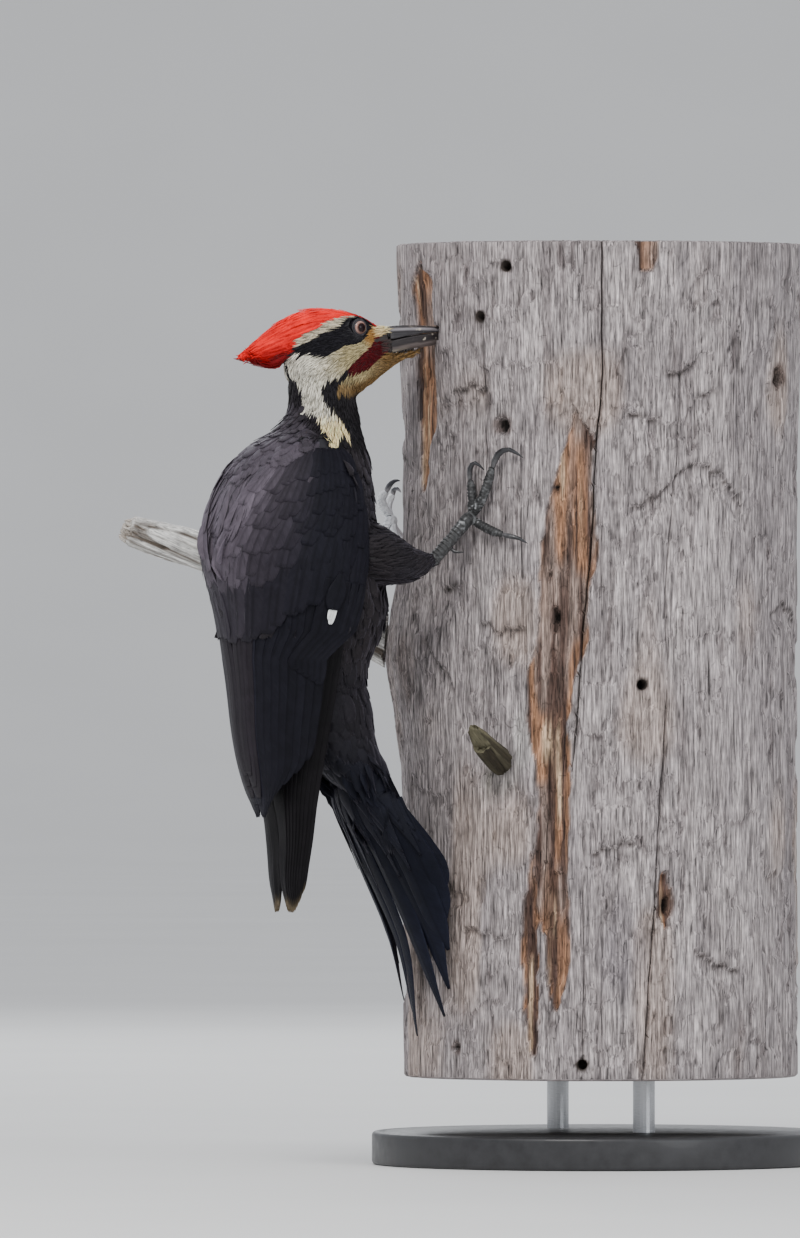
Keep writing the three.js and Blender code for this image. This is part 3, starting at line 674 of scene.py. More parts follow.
def lay(name, template, roots, size, material, colour=markings, sway=0.09, edge=1.0,
        way=flow, tree=SKIN_TREE, rolling=0.1):
    """Lays vanes along the coat's flow; size gives length, half width, lift, thickness and bow."""
    shape, faces = template
    start, normal, place, outer = roots
    count = len(start)
    length, half, lift, thick, bow = (np.broadcast_to(value, count) * MM for value in size)
    length = varied(length, 0.13, 0.7, 1.3)
    half = varied(half, 0.1, 0.75, 1.3)
    lift = varied(lift, 0.2, 0.5, 1.5)
    lie = laid_flat(way(start), normal)
    turn = sway * rng.standard_normal(count)[:, None]
    lie = unit(lie * np.cos(turn) + np.cross(normal, lie) * np.sin(turn))
    middle, middle_normal, _ = nearest(tree, start + lie * (length * 0.5)[:, None])
    resting = middle
    onward = laid_flat(lie * 0.4 + laid_flat(way(middle), middle_normal) * 0.6, middle_normal)
    end, end_normal, _ = nearest(tree, middle + onward * (length * 0.5)[:, None])
    middle = middle + middle_normal * (lift * 0.62)[:, None]
    end = end + end_normal * lift[:, None]
    control = 2 * middle - (start + end) / 2
    u = shape[:, 0].clip(-0.05, 1)[None, :, None]
    line = (1 - u) ** 2 * start[:, None] + 2 * u * (1 - u) * control[:, None] + u ** 2 * end[:, None]
    along = unit(2 * (1 - u) * (control - start)[:, None] + 2 * u * (end - control)[:, None])
    upward = unit((1 - u) * normal[:, None] + u * end_normal[:, None] + 0.6 * middle_normal[:, None])
    side = unit(np.cross(upward, along))
    upward = np.cross(along, side)
    roll = (rolling * rng.standard_normal(count))[:, None, None]
    v = shape[None, :, 1:2]
    w = shape[None, :, 2:3]
    wide = v * half[:, None, None]
    rise = w * thick[:, None, None] - wide ** 2 / (2 * bow[:, None, None]) + wide * roll
    points = line + side * wide + upward * rise
    tints = colour(outer + (resting - start) * 0.9) * varied(np.ones(count), 0.12, 0.6, 1.5)[:, None]
    # Painted sheen: edge lightens each vane towards its edges and tip
    rim = 1 + (edge - 1) * ramp(np.maximum(np.abs(shape[:, 1]), shape[:, 0] ** 3), 0.55, 1.0)
    tints = (tints[:, None] * rim[None, :, None]).clip(0, 1)
    patch = np.stack([shape[:, 1] * 0.0015, (shape[:, 0] - 0.5) * 0.003], axis=1)
    fibres = np.stack([u[..., 0] * length[:, None] / MM, wide[..., 0] / MM], axis=2)
    return join_vanes(name, points, faces, tints, place[:, None] + patch[None], fibres, material)


# ---------------------------------------------------------------- materials
def node(tree, kind, inputs=None, **settings):
    made = tree.nodes.new(kind)
    for key, value in settings.items():
        setattr(made, key, value)
    for key, value in (inputs or {}).items():
        if isinstance(value, bpy.types.NodeSocket):
            tree.links.new(value, made.inputs[key])
        else:
            made.inputs[key].default_value = value
    return made


def new_material(name, **shader):
    """A material with its Principled shader's constant sockets set by name."""
    material = bpy.data.materials.new(name)
    material.use_nodes = True
    tree = material.node_tree
    principled = tree.nodes["Principled BSDF"]
    for key, value in shader.items():
        principled.inputs[key.replace("_", " ").title().replace("Ior", "IOR")].default_value = value
    return material, tree, principled


def math_node(tree, operation, first, second=0.0):
    return node(tree, "ShaderNodeMath", {0: first, 1: second, 2: 0.0}, operation=operation).outputs[0]


def place_of(tree, scale):
    """Object coordinates scaled on each axis."""
    here = node(tree, "ShaderNodeTexCoord").outputs["Object"]
    return node(tree, "ShaderNodeMapping", {"Vector": here, "Scale": scale}).outputs["Vector"]


def noise_node(tree, vector, scale, detail, roughness=0.55):
    inputs = {"Vector": vector, "Scale": scale, "Detail": detail, "Roughness": roughness}
    return node(tree, "ShaderNodeTexNoise", inputs).outputs["Fac"]


def remap(tree, value, low, high, to_low, to_high):
    inputs = {"Value": value, "From Min": low, "From Max": high, "To Min": to_low, "To Max": to_high}
    return node(tree, "ShaderNodeMapRange", inputs).outputs["Result"]


def scaled_colour(tree, colour, factor):
    grey = node(tree, "ShaderNodeCombineColor", {0: factor, 1: factor, 2: factor}).outputs[0]
    made = node(tree, "ShaderNodeMix", {0: 1.0, 6: colour, 7: grey}, data_type="RGBA", blend_type="MULTIPLY")
    return made.outputs[2]


def plain(tree, colour):
    made = node(tree, "ShaderNodeRGB")
    made.outputs[0].default_value = (*colour, 1)
    return made.outputs[0]


def tint_of(tree):
    return node(tree, "ShaderNodeAttribute", attribute_name="tint").outputs["Color"]


def multiply(tree, first, second):
    return math_node(tree, "MULTIPLY", first, second)


def length_of(tree, vector):
    return node(tree, "ShaderNodeVectorMath", {0: vector}, operation="LENGTH").outputs["Value"]


def set_colour(tree, principled, colour, factor):
    """Links a colour times a factor to the shader."""
    tree.links.new(scaled_colour(tree, colour, factor), principled.inputs["Base Color"])


def set_rough(tree, principled, value, low, high, to_low, to_high):
    tree.links.new(remap(tree, value, low, high, to_low, to_high), principled.inputs["Roughness"])


def bump(tree, principled, height, strength, distance):
    made = node(tree, "ShaderNodeBump", {"Height": height, "Strength": strength, "Distance": distance})
    tree.links.new(made.outputs[0], principled.inputs["Normal"])


def feather_material(name, roughness, gloss, sheen, sheen_tint, barb_gap, depth=0.35, streak=0.28):
    """Barbs run outwards and forwards from the shaft; the sheen is that of fine barbules."""
    material, tree, principled = new_material(
        name, roughness=roughness, sheen_weight=sheen, sheen_roughness=0.38, specular_ior_level=gloss
    )
    principled.inputs["Sheen Tint"].default_value = (*sheen_tint, 1)
    fibre = node(tree, "ShaderNodeUVMap", uv_map="Fibre").outputs[0]
    apart = node(tree, "ShaderNodeSeparateXYZ", {0: fibre})
    outward = math_node(tree, "ABSOLUTE", apart.outputs[1])
    barb = math_node(tree, "SUBTRACT", apart.outputs[0], multiply(tree, outward, 1.25))
    ridge = math_node(tree, "SINE", multiply(tree, barb, 2 * math.pi / barb_gap))
    row = node(tree, "ShaderNodeCombineXYZ", {0: barb, 1: multiply(tree, outward, 0.12), 2: 0.0})
    lock = noise_node(tree, row.outputs[0], 1.1, 3)
    cloud = noise_node(tree, place_of(tree, (1, 1, 1)), 160, 3)
    streaks = remap(tree, lock, 0.25, 0.75, 1 - streak, 1 + streak)
    factor = multiply(tree, streaks, remap(tree, cloud, 0.3, 0.7, 0.85, 1.15))
    set_colour(tree, principled, tint_of(tree), factor)
    height = math_node(tree, "ADD", multiply(tree, ridge, 0.4), multiply(tree, lock, 2.0))
    bump(tree, principled, height, depth, 0.12 * MM)
    return material


VIOLET_SHEEN = (0.80, 0.74, 0.92)
PLUMAGE = feather_material("soft_plumage", 0.60, 0.14, 0.14, VIOLET_SHEEN, 0.42)
QUILLS = feather_material("flight_plumage", 0.47, 0.075, 0.02, VIOLET_SHEEN, 0.55, 0.4, 0.2)
FACE = feather_material("face_plumage", 0.72, 0.12, 0.05, (0.95, 0.93, 0.95), 0.3, 0.2, 0.12)
CREST = feather_material("crest_plumage", 0.55, 0.12, 0.06, (1.0, 0.32, 0.22), 0.4, 0.3, 0.26)


def tinted_material(name, grain, detail, contrast, relief, roughness, base=None, **shader):
    """A finish on the tint attribute, or on one base colour, with mottling and a bump; grain is per metre."""
    material, tree, principled = new_material(name, roughness=roughness, **shader)
    field = noise_node(tree, place_of(tree, grain), 1.0, detail)
    factor = remap(tree, field, 0.25, 0.75, 1 - contrast, 1 + contrast)
    set_colour(tree, principled, tint_of(tree) if base is None else plain(tree, base), factor)
    set_rough(tree, principled, field, 0.2, 0.8, roughness * 0.85, min(1.0, roughness * 1.2))
    bump(tree, principled, field, 0.5, relief)
    return material


SKIN_FINISH = tinted_material("bird_skin", (900, 900, 900), 4, 0.2, 0.12 * MM, 0.6)
SCUTE_FINISH = tinted_material("leg_scutes", (1400, 1400, 1400), 4, 0.25, 0.08 * MM, 0.5)
HORN = tinted_material("bill_horn", (160, 900, 900), 5, 0.14, 0.05 * MM, 0.36, specular_ior_level=0.35)
CLAW_HORN = tinted_material("claw_horn", (700, 700, 700), 4, 0.2, 0.04 * MM, 0.3, coat_weight=0.3)
EYE_FINISH = tinted_material("eye_wet", (1500, 1500, 1500), 3, 0.12, 0.01 * MM, 0.07, specular_ior_level=0.22)
LID_FINISH = tinted_material("eyelid_skin", (1800, 1800, 1800), 4, 0.3, 0.15 * MM, 0.55)


# ---------------------------------------------------------------- coat over the skin
MIDDLES = COAT_POINTS[SKIN_TRIANGLES].mean(axis=1)
MIDDLES_HEAD = to_head(MIDDLES)


def triangles_of(*names):
    return labelled(*names)[SKIN_TRIANGLES[:, 0]]


def even(gap):
    return lambda points: np.full(len(points), gap * MM)


def crown_mask(local):
    return inside(RED_CROWN, local[:, 0], local[:, 2])


def lay_crest():
    wanted = triangles_of("head", "crest") & crown_mask(MIDDLES_HEAD)
    roots = scatter(wanted, even(1.22))
    local = to_head(roots[3])
    to_tip = np.linalg.norm(local - np.array(CREST_TIP), axis=1)
    length = np.minimum(7 + 19 * ramp(-local[:, 0], 0, 34), to_tip * 0.82 + 1.5)
    half = 0.62 + 0.55 * ramp(-local[:, 0], 0, 30)
    lift = 0.8 + 1.1 * ramp(-local[:, 0], 4, 30) * ramp(to_tip, 10, 32)
    lift = lift + 2.2 * ramp(local[:, 2], -3, -9) * ramp(local[:, 0], -42, -50)

    def sweep(points):
        place = to_head(points)
        hanging = ramp(place[:, 2], 0, -8) * ramp(place[:, 0], -42, -50)
        droop = -HEAD_AXES[2] * hanging[:, None] * 1.1
        return unit(flow(points) + droop)

    lay("crest_plumes", PLUME, roots, (length, half, lift, 0.22, 9), CREST,
        sway=0.06, edge=1.1, way=sweep)


def lay_face():
    clear = eye_gap(MIDDLES_HEAD) > 4.5
    wanted = triangles_of("head", "crest") & ~crown_mask(MIDDLES_HEAD) & (clear | (MIDDLES_HEAD[:, 2] < -4))
    wanted &= ~bare_bill_foot(MIDDLES_HEAD)

    def gap(points):
        return (0.78 - 0.14 * ramp(to_head(points)[:, 0], -30, -6)) * MM

    on_left = MIDDLES_HEAD[:, 1] > 0
    for name, region in (("coat_face_right", ~on_left), ("coat_face_left", on_left)):
        roots = scatter(wanted & region, gap)
        local = to_head(roots[3])
        near = ramp(eye_gap(local), 10, 5.5)
        front = np.maximum(ramp(local[:, 0], -26, -2), near)
        length = 7.2 - 4.0 * front
        half = 0.43 - 0.12 * front
        lay(name, TUFT, roots, (length, half, 0.8 - 0.3 * front, 0.16, 12), FACE, sway=0.11)


def lay_neck():
    caped = (MIDDLES[:, 2] < CAPE_TOP) & (rearward(MIDDLES) > 0.1) & (MIDDLES_HEAD[:, 0] < -44)
    wanted = triangles_of("neck")
    wanted |= triangles_of("torso") & (MIDDLES[:, 2] > CAPE_FOOT)
    roots = scatter(wanted & ~caped, even(0.92))
    lay("coat_neck", TUFT, roots, (9.5, 0.56, 1.3, 0.18, 16), FACE, sway=0.1)
    cape = triangles_of("neck", "torso", "wing") & caped & (MIDDLES[:, 2] > 0.386)
    roots = scatter(cape, lambda points: (1.7 + 1.6 * ramp(points[:, 2], CAPE_TOP, CAPE_FOOT)) * MM)
    low = ramp(roots[0][:, 2], CAPE_TOP, CAPE_FOOT)
    size = (10 + 9 * low, 1.6 + 2.6 * low, 1.6 - 0.4 * low, 0.2, 22)
    lay("coat_cape", CONTOUR, roots, size, PLUMAGE, sway=0.08, rolling=0.04)


def rearward(points):
    """How far round the back a point is: 1 on the spine, 0 at the flank."""
    return np.cos(np.arctan2(np.abs(points[:, 1]), -(points[:, 0] - BODY_AXIS_X)))


def uncovered(roots):
    """The roots that do not lie beneath a wing."""
    wings = [f"wing_{side}_{part}" for side in SIDES for part in ("coverts", "secondaries")]
    over = tree_of(merged_copy(wings))
    rays = [(Vector(start), Vector(normal)) for start, normal in zip(*roots[:2])]
    keep = np.array([over.ray_cast(start, normal, 15 * MM)[0] is None for start, normal in rays])
    return tuple(part[keep] for part in roots)


def lay_body():
    torso = triangles_of("torso") & (MIDDLES[:, 2] <= TORSO_TOP)
    arms = triangles_of("wing")
    back = (rearward(MIDDLES) > 0.62) & (MIDDLES[:, 2] > 0.315)
    breast = torso & ~back & (MIDDLES[:, 2] > VENT_TOP)
    roots = uncovered(scatter(breast, even(3.5)))
    lay("coat_breast", CONTOUR, roots, (15, 3.3, 2.2, 0.2, 30), PLUMAGE, edge=1.15, sway=0.13)
    underside = SKIN_NORMALS[SKIN_TRIANGLES].mean(axis=1)[:, 2] < -0.55
    vent = torso & ~back & (MIDDLES[:, 2] <= VENT_TOP) & ~underside
    roots = uncovered(scatter(vent, even(3.7)))
    low = ramp(roots[0][:, 2], 0.246, 0.224)
    size = (22 + 10 * low, 4.4, -0.3 + 2.2 * low * ramp(roots[1][:, 0], 0.1, 0.5), 0.2, 26)
    under = tree_of(merged_copy(["torso", "tail"]))
    lay("coat_vent", CONTOUR, roots, size, PLUMAGE, edge=1.1, rolling=0.03, tree=under)
    shoulder = arms & ~back & (MIDDLES[:, 2] > 0.372) & (MIDDLES[:, 2] < TORSO_TOP)
    roots = scatter(shoulder, even(3.6))
    size = (17, 4.2, 0.95 - 1.1 * ramp(roots[0][:, 2], 0.380, 0.390), 0.2, 30)

    # Painted sheen: the shoulder feathers lighten to violet black towards the back
    def sheen_toward_back(points):
        return blend_colour(WING_BLACK, PAINTED_SHEEN_BLACK, 0.12 + 0.8 * ramp(points[:, 0], -0.205, -0.235))

    lay("coat_shoulder", vane(6, 6, rounded, fray=0.03), roots, size, PLUMAGE,
        edge=1.05, colour=sheen_toward_back, rolling=0.02)
    mantle = (torso | arms) & back & (MIDDLES[:, 2] > 0.338)
    roots = scatter(mantle, even(4.2))
    high = ramp(roots[0][:, 2], 0.342, 0.368)
    size = (24 + 6 * high, 6.0, -0.5 + 1.5 * high - 1.4 * ramp(roots[0][:, 2], 0.376, 0.388), 0.2, 46)
    lay("coat_mantle", vane(7, 6, rounded, fray=0.03), roots, size, PLUMAGE,
        edge=1.08, sway=0.06, rolling=0.025)
    for side in SIDES:
        roots = scatter(triangles_of(f"thigh_{side}"), even(1.45))
        ankle = np.array(box_middle(f"shank_{side}"))
        leg_way = ankle - box_middle(f"thigh_{side}")
        near = ramp(((ankle - roots[0]) @ leg_way) / (leg_way @ leg_way), 0.7, 0.3)
        size = (8.5 - 4.3 * near, 1.15 - 0.35 * near, 1.5 - 0.6 * near, 0.2, 12)
        lay(f"coat_thigh_{side}", PLUME, roots, size, PLUMAGE, edge=1.1, sway=0.16,
            way=lambda points: unit(0.6 * unit(leg_way) + unit(ankle - points)))


def lay_wisps():
    """Loose hair-like barbs on the back, coloured paler than the plumage as painted highlight streaks."""
    wanted = triangles_of("torso", "wing") & (MIDDLES[:, 2] > 0.29) & (MIDDLES[:, 2] < 0.385)
    roots = scatter(wanted & (rearward(MIDDLES) > 0.88), even(4.6))
    lay("coat_wisps", TUFT, roots, (13, 0.2, 2.4, 0.2, 40), PLUMAGE, sway=0.14,
        colour=lambda points: np.full((len(points), 3), 0.05) * (1.0, 0.94, 1.08))


def lay_nostril_tufts():
    """Bristly tufts that lie forward over the foot of the bill."""
    over = tree_of(merged_copy(["bill_upper", "head"]))
    local = MIDDLES_HEAD
    wanted = (local[:, 0] > -7.5) & (local[:, 2] > 0.6) & (local[:, 2] < 7.4)
    wanted |= (local[:, 0] > -3.5) & (local[:, 2] > -11) & (local[:, 2] < 1)
    wanted &= ~bare_bill_foot(local)
    roots = scatter(wanted & triangles_of("head"), even(0.8))
    forward = HEAD_AXES[0] * 0.96 + HEAD_AXES[2] * 0.02
    ahead, _, up = to_head(roots[3]).T
    edge = np.where(up > 0, -7.5 + 13.0 * ramp(up, -1, 6), 5.0) + 1.6 * rng.standard_normal(len(up))
    reach = (edge - ahead).clip(2.4, 11)

    def bristle(points):
        ahead, _, up = to_head(points).T
        cream = blend_colour(BUFF, LORE, ramp(ahead, 1, -7) * 0.85)
        red = blend_colour(MALAR_RED, BILL_FOOT_GREY, ramp(ahead, -1.5, 2.0))
        return np.where((up > 1.6)[:, None], cream, np.where((up > -7.5)[:, None], red, TAN))

    lay("nostril_tufts", TUFT, roots, (reach, 0.34, 0.7, 0.26, 8), FACE, sway=0.13, tree=over, colour=bristle,
        way=lambda points: unit(forward + np.zeros((len(points), 3))))


lay_crest()
lay_face()
lay_neck()
lay_body()
lay_wisps()
lay_nostril_tufts()
add_object("skin", SKIN, SKIN_FINISH, FLESH)


# ---------------------------------------------------------------- wings
CHART_ROW = 3 * MM
CHART_COLUMNS = 33
# Covert rows from the bottom up: height of the tips, length, half width in millimetres, and how many
COVERT_ROWS = [(286, 40, 8.5, 13), (303, 36, 8.0, 14), (318, 32, 7.4, 15), (332, 29, 6.8, 16),
               (345, 26, 6.2, 17), (357, 23, 5.6, 18), (368, 20, 5.0, 19), (378, 17, 4.5, 18)]


class Chart:
    """The outer face of a wing solid as a grid: rows down in height, columns from front edge to back edge."""

    def __init__(self, names, side):
        tree = tree_of(merged_copy(names))
        bottom = min(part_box(name)[0].z for name in names)
        self.top = max(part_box(name)[1].z for name in names) - 1.2 * MM
        self.side = side
        rows = []
        level = self.top
        while level > bottom:
            row = self.slice(tree, level)
            if row is None:
                break
            rows.append(row)
            level -= CHART_ROW
        rows = np.array(rows)
        padded = np.pad(rows, ((2, 2), (0, 0), (0, 0)), mode="edge")
        self.grid = sum(padded[k:k + len(rows)] for k in range(5)) / 5
        self.grid[..., 2] = rows[..., 2]
        self.arcs = np.linalg.norm(np.diff(self.grid, axis=1), axis=2).sum(axis=1)

    def slice(self, tree, level):
        hits = []
        for bearing in np.radians(np.linspace(50, 182, 120)):
            out = Vector((math.cos(bearing), self.side * math.sin(bearing), 0))
            hit = tree.ray_cast(Vector((BODY_AXIS_X, 0, level)) + out * 0.2, -out, 0.2)[0]
            if hit is not None:
                hits.append(hit)
        if len(hits) < 8:
            return None
        hits = np.array(hits)
        run = np.concatenate([[0], np.cumsum(np.linalg.norm(np.diff(hits, axis=0), axis=1))])
        even_run = np.linspace(0, run[-1], CHART_COLUMNS)
        return np.stack([np.interp(even_run, run, hits[:, k]) for k in range(3)], axis=1)

    def at(self, across, height):
        """Points and outward normals at shares across and heights, carried on past the edges."""
        row = np.clip((self.top - height) / CHART_ROW, -6, len(self.grid) + 3)
        column = np.clip(across, -0.12, 1.06) * (CHART_COLUMNS - 1)
        i = np.clip(np.floor(row).astype(int), 0, len(self.grid) - 2)
        j = np.clip(np.floor(column).astype(int), 0, CHART_COLUMNS - 2)
        a = np.clip(row - i, -1.0, 2.0)[..., None]
        b = (column - j)[..., None]
        g = self.grid
        above = g[i, j] * (1 - b) + g[i, j + 1] * b
        below = g[i + 1, j] * (1 - b) + g[i + 1, j + 1] * b
        points = above * (1 - a) + below * a
        points[..., 2] = height
        normals = unit(np.cross(g[i, j + 1] - g[i, j], g[i + 1, j] - g[i, j]) * -self.side)
        return points, normals

    def arc(self, height):
        levels = self.top - CHART_ROW * np.arange(len(self.arcs))
        return np.interp(height, levels[::-1], self.arcs[::-1])


def map_cells(count, cells, along, across):
    """Map places of feathers in square cells, from shares along and across each feather."""
    cell = np.stack(np.divmod(np.arange(count), cells), axis=1)[:, None, :]
    return (cell + 0.08 + 0.84 * np.stack([along, across], axis=-1)) / cells


def lay_quills(name, chart, template, quills, tints, material, tip_tint=None):
    """Feathers on a wing chart. Each quill: share and height at root and tip, front and back half width,
    height of front edge and of back edge over the face, sink of the root, all in millimetres."""
    shape, faces = template
    q = np.array(quills, float)
    u = shape[None, :, 0].clip(0, 1)
    v = shape[None, :, 1]
    columns = (q[:, k:k + 1] for k in range(q.shape[1]))
    start_share, start_height, end_share, end_height, front, back, high, low, sink = columns
    height = (start_height + (end_height - start_height) * shape[None, :, 0].clip(-0.1, 1.1)) * MM
    share = start_share + (end_share - start_share) * (u + 0.25 * u * (1 - u))
    wide = np.where(v < 0, v * front, v * back)
    slant = (end_share - start_share) * chart.arc(height) / MM / np.maximum(start_height - end_height, 1)
    share = share + wide * MM / chart.arc(height)
    height = height + wide * slant * MM
    points, normals = chart.at(share, height)
    across = (v + 1) / 2
    shaft = 0.28 * np.exp(-(wide / 0.55) ** 2) * (1 - u)
    crown = 0.35 * (1 - v * v) * ramp(u, 0, 0.4)
    rise = high + (low - high) * across - sink * (1 - u) + shaft + crown + shape[None, :, 2] * 0.14
    points = points + normals * (rise * MM)[..., None]
    colours = np.broadcast_to(np.asarray(tints)[:, None, :], points.shape).copy()
    colours *= (1 - 0.3 * np.exp(-(wide / 0.7) ** 2) * (u < 0.97))[..., None]
    # Painted sheen along each vane's edges
    colours *= (1 + 0.1 * ramp(np.abs(v), 0.8, 1.0))[..., None]
    if tip_tint is not None:
        colours = blend_colour(colours, tip_tint, 0.8 * ramp(u, 0.965, 1.0))
    fibres = np.stack([u * np.abs(start_height - end_height), wide], axis=2)
    places = map_cells(len(q), math.ceil(math.sqrt(len(q))), u, across)
    return join_vanes(name, points, faces, colours, places, fibres, material)


def remex(along):
    narrowing = 1 - 0.16 * ramp(along, 0.4, 0.85)
    return (0.55 + 0.45 * ramp(along, 0, 0.3)) * narrowing * round_end(along, 0.93, 0.075)


def broad_remex(along):
    return (0.55 + 0.45 * ramp(along, 0, 0.3)) * round_end(along, 0.84, 0.17)


PRIMARY = vane(46, 12, remex, fray=0.012)
SECONDARY = vane(40, 12, broad_remex, fray=0.006)


def graded(count, *pairs):
    """Rows of values that run evenly from the first to the last of each pair."""
    return np.array([np.linspace(first, last, count) for first, last in pairs]).T


def shaded(colour, middles, spread, low, high):
    """One colour for each feather, its brightness varied about the middles."""
    return np.array(colour) * varied(middles, spread, low, high)[:, None]


def lay_wing(side, sign):
    arm = Chart([f"wing_{side}_coverts", f"wing_{side}_secondaries"], sign)
    hand = Chart([f"wing_{side}_primaries"], sign)
    quills = []
    tints = []
    for height, length, half, count in COVERT_ROWS:
        lowest = height < 300
        proud = 0.6 if lowest else 0.0
        for share in np.linspace(0.03, 0.985, count) + 0.012 * rng.standard_normal(count):
            rise = (20 * ramp(share, 0.8, 0.25) - 8 * ramp(share, 0.2, 0.0)) * (1.0 if lowest else 0.5)
            end = height + rise + (0.8 if lowest else 2.6) * rng.standard_normal()
            narrow = 1 - 0.3 * ramp(share, 0.4, 0.0)
            top = 390 - 9 * ramp(share, 0.45, 0.85)
            if end > top - 13:
                continue
            quills.append((share - 0.05, min(end + length, top), share, end,
                           half * 0.85 * narrow, half * narrow, proud, proud - 0.35, 1.0 if lowest else 0.6))
            # Painted sheen: the upper coverts towards the back lighten to violet black and then to the back's
            # shine
            high = ramp(end, 265, 335)
            sheen_share = 0.85 * ramp(share, 0.35, 0.8) * high
            tint = blend_colour(np.array(WING_BLACK) * 1.3, PAINTED_SHEEN_BLACK, sheen_share)
            tint = blend_colour(tint, BACK_SHINE, 0.75 * ramp(share, 0.74, 0.96) * high)
            tints.append(tint * max(0.85, 1 + 0.06 * rng.standard_normal()))
    lay_quills(f"coverts_{side}", arm, QUILL_COVERT, quills, tints, QUILLS)
    rows = graded(9, (0.0, 0.5), (292, 294), (0.06, 0.90), (150, 143.5), (3.2, 4.2), (9.5, 10.5),
                  (-0.1, -0.3), (-1.5, -1.9), (2.4, 1.6))
    rows[:, 3] = [149, 144, 141.5, 140, 139.2, 139, 139.2, 140.2, 142]
    tints = shaded(PRIMARY_BLACK, np.ones(9), 0.1, 0.8, 1.3)
    lay_quills(f"primaries_{side}", hand, PRIMARY, rows, tints, QUILLS, WORN_TIP)
    rows = graded(10, (0.05, 0.86), (322, 311), (0.08, 0.95), (222, 193), (4.6, 4.4), (9.5, 7), (0.1, 0.25),
                  (-0.9, -0.5), (0.5, 0.5))
    rows[:, 3] = [221, 214, 208, 203, 198.5, 195, 192, 190.4, 191.5, 197]
    # Painted sheen: the inner secondaries are lightened towards the back, and the tertials take the violet
    # black
    tints = np.array(WING_BLACK) * (1 + 0.9 * ramp(rows[:, 0], 0.5, 0.86))[:, None]
    tints *= varied(np.ones(10), 0.1, 0.8, 1.3)[:, None]
    lay_quills(f"secondaries_{side}", arm, SECONDARY, rows, tints, QUILLS)
    rows = graded(3, (0.80, 0.94), (312, 309), (0.87, 0.975), (201, 213), (4.4, 4.0), (6.4, 4.4), (0.7, 0.9),
                  (0.0, 0.2), (0.9, 0.9))
    tints = shaded(PAINTED_SHEEN_BLACK, np.full(3, 0.42), 0.1, 0.7, 1.2)
    lay_quills(f"tertials_{side}", arm, SECONDARY, rows, tints, QUILLS)
    rows = graded(5, (0.0, 0.25), (316, 320), (0.03, 0.27), (262, 270), (3.2, 3.6), (4.4, 4.6), (0.45, 0.35),
                  (0.1, 0.0), (-0.85, -0.45))
    tints = shaded(WING_BLACK, np.ones(5), 0.08, 0.8, 1.3)
    lay_quills(f"alula_{side}", arm, SECONDARY, rows, tints, QUILLS)
    spot = [(0.19, 309, 0.20, 294.8, 1.9, 1.9, 2.2, 1.9, 0.3),
            (0.205, 309, 0.215, 297.2, 1.4, 1.6, 2.2, 1.9, 0.3)]
    lay_quills(f"wing_patch_{side}", arm, QUILL_COVERT, spot, [WHITE, WHITE], FACE)
    cap = [(0.17, 323, 0.205, 302.4, 5.2, 5.6, 2.6, 2.3, 1.9)]
    lay_quills(f"patch_covert_{side}", arm, QUILL_COVERT, cap, [WING_BLACK], QUILLS)


for wing_side, wing_sign in SIDES.items():
    lay_wing(wing_side, wing_sign)
for wing_side in SIDES:
    for rank in ("secondaries", "primaries"):
        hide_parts(f"wing_{wing_side}_{rank}")


# ---------------------------------------------------------------- tail
# Centre line of each tail feather in millimetres, root to tip, then the lean of its vane in degrees
TAIL_FEATHERS = {
    "right": [
        [(-160, -2, 228), (-163, -4.0, 203), (-143, -6.5, 168), (-123, -8.0, 126), (-109.2, -18.0, 82), 8],
        [(-159, -4, 230), (-160, -11, 203), (-140, -15.5, 168), (-119, -17.5, 128), (-109, -22.5, 97), 22],
        [(-160, -5, 232), (-156, -17, 203), (-137, -24.5, 168), (-119, -23.5, 134), (-110.2, -24.2, 118), 38],
        [(-161, -5, 234), (-152, -21, 203), (-131.5, -29.5, 168), (-119, -27.5, 146), (-113.4, -27, 135), 52],
        [(-162, -4, 236), (-151, -21, 204), (-130, -30.0, 172), (-120.6, -30, 158), (-116.6, -29.4, 149), 60],
    ],
    "left": [
        [(-160, 2, 228), (-163, 4.0, 203), (-143.5, 6.5, 168), (-122.5, 5.0, 122), (-110.4, 9.5, 71), 8],
        [(-159, 4, 230), (-161.5, 12, 203), (-142.4, 16.5, 168), (-122, 13.5, 124), (-110.6, 14.5, 84), 22],
        [(-160, 5, 232), (-158.4, 18, 203), (-138.6, 27.5, 168), (-121, 23.6, 126), (-112.6, 20, 90), 38],
        [(-161, 5, 234), (-154.4, 23, 203), (-132.6, 34.5, 168), (-119, 30.6, 132), (-112, 27, 110), 52],
        [(-162, 4, 236), (-151, 23, 204), (-127, 36.5, 170), (-117.5, 35, 148), (-112.5, 33, 135), 60],
    ],
}
RECTRIX_WIDTHS = (1.8, 5.6, 7.4, 6.6, 0.9)


def through(rows, shares):
    """A smooth curve through rows of values, evenly keyed from 0 to 1 (Catmull-Rom)."""
    rows = np.array(rows, float)
    padded = np.vstack([2 * rows[0] - rows[1], rows, 2 * rows[-1] - rows[-2]])
    place = np.clip(shares, 0, 1) * (len(rows) - 1)
    i = np.minimum(place.astype(int), len(rows) - 2)
    t = (place - i)[:, None]
    a, b, c, d = (padded[i + k] for k in range(4))
    square = (2 * a - 5 * b + 4 * c - d) * t ** 2
    return 0.5 * (2 * b + (c - a) * t + square + (3 * b - a - 3 * c + d) * t ** 3)


def tail_frame(line, lean, side, shares):
    """Points down a tail feather's centre line, with the ways across and out of its vane."""
    path = through(line, shares)
    tangent = unit(through(line, shares + 0.01) - through(line, shares - 0.01))
    lean = math.radians(lean)
    across = np.array([math.sin(lean), SIDES[side] * math.cos(lean), 0])
    outward = unit(np.cross(np.broadcast_to(across, tangent.shape), tangent)) * -SIDES[side]
    outward *= np.where((outward[:, 0] > 0) & (outward[:, 2] > 0), -1, 1)[:, None]
    return path, np.cross(outward, tangent), outward


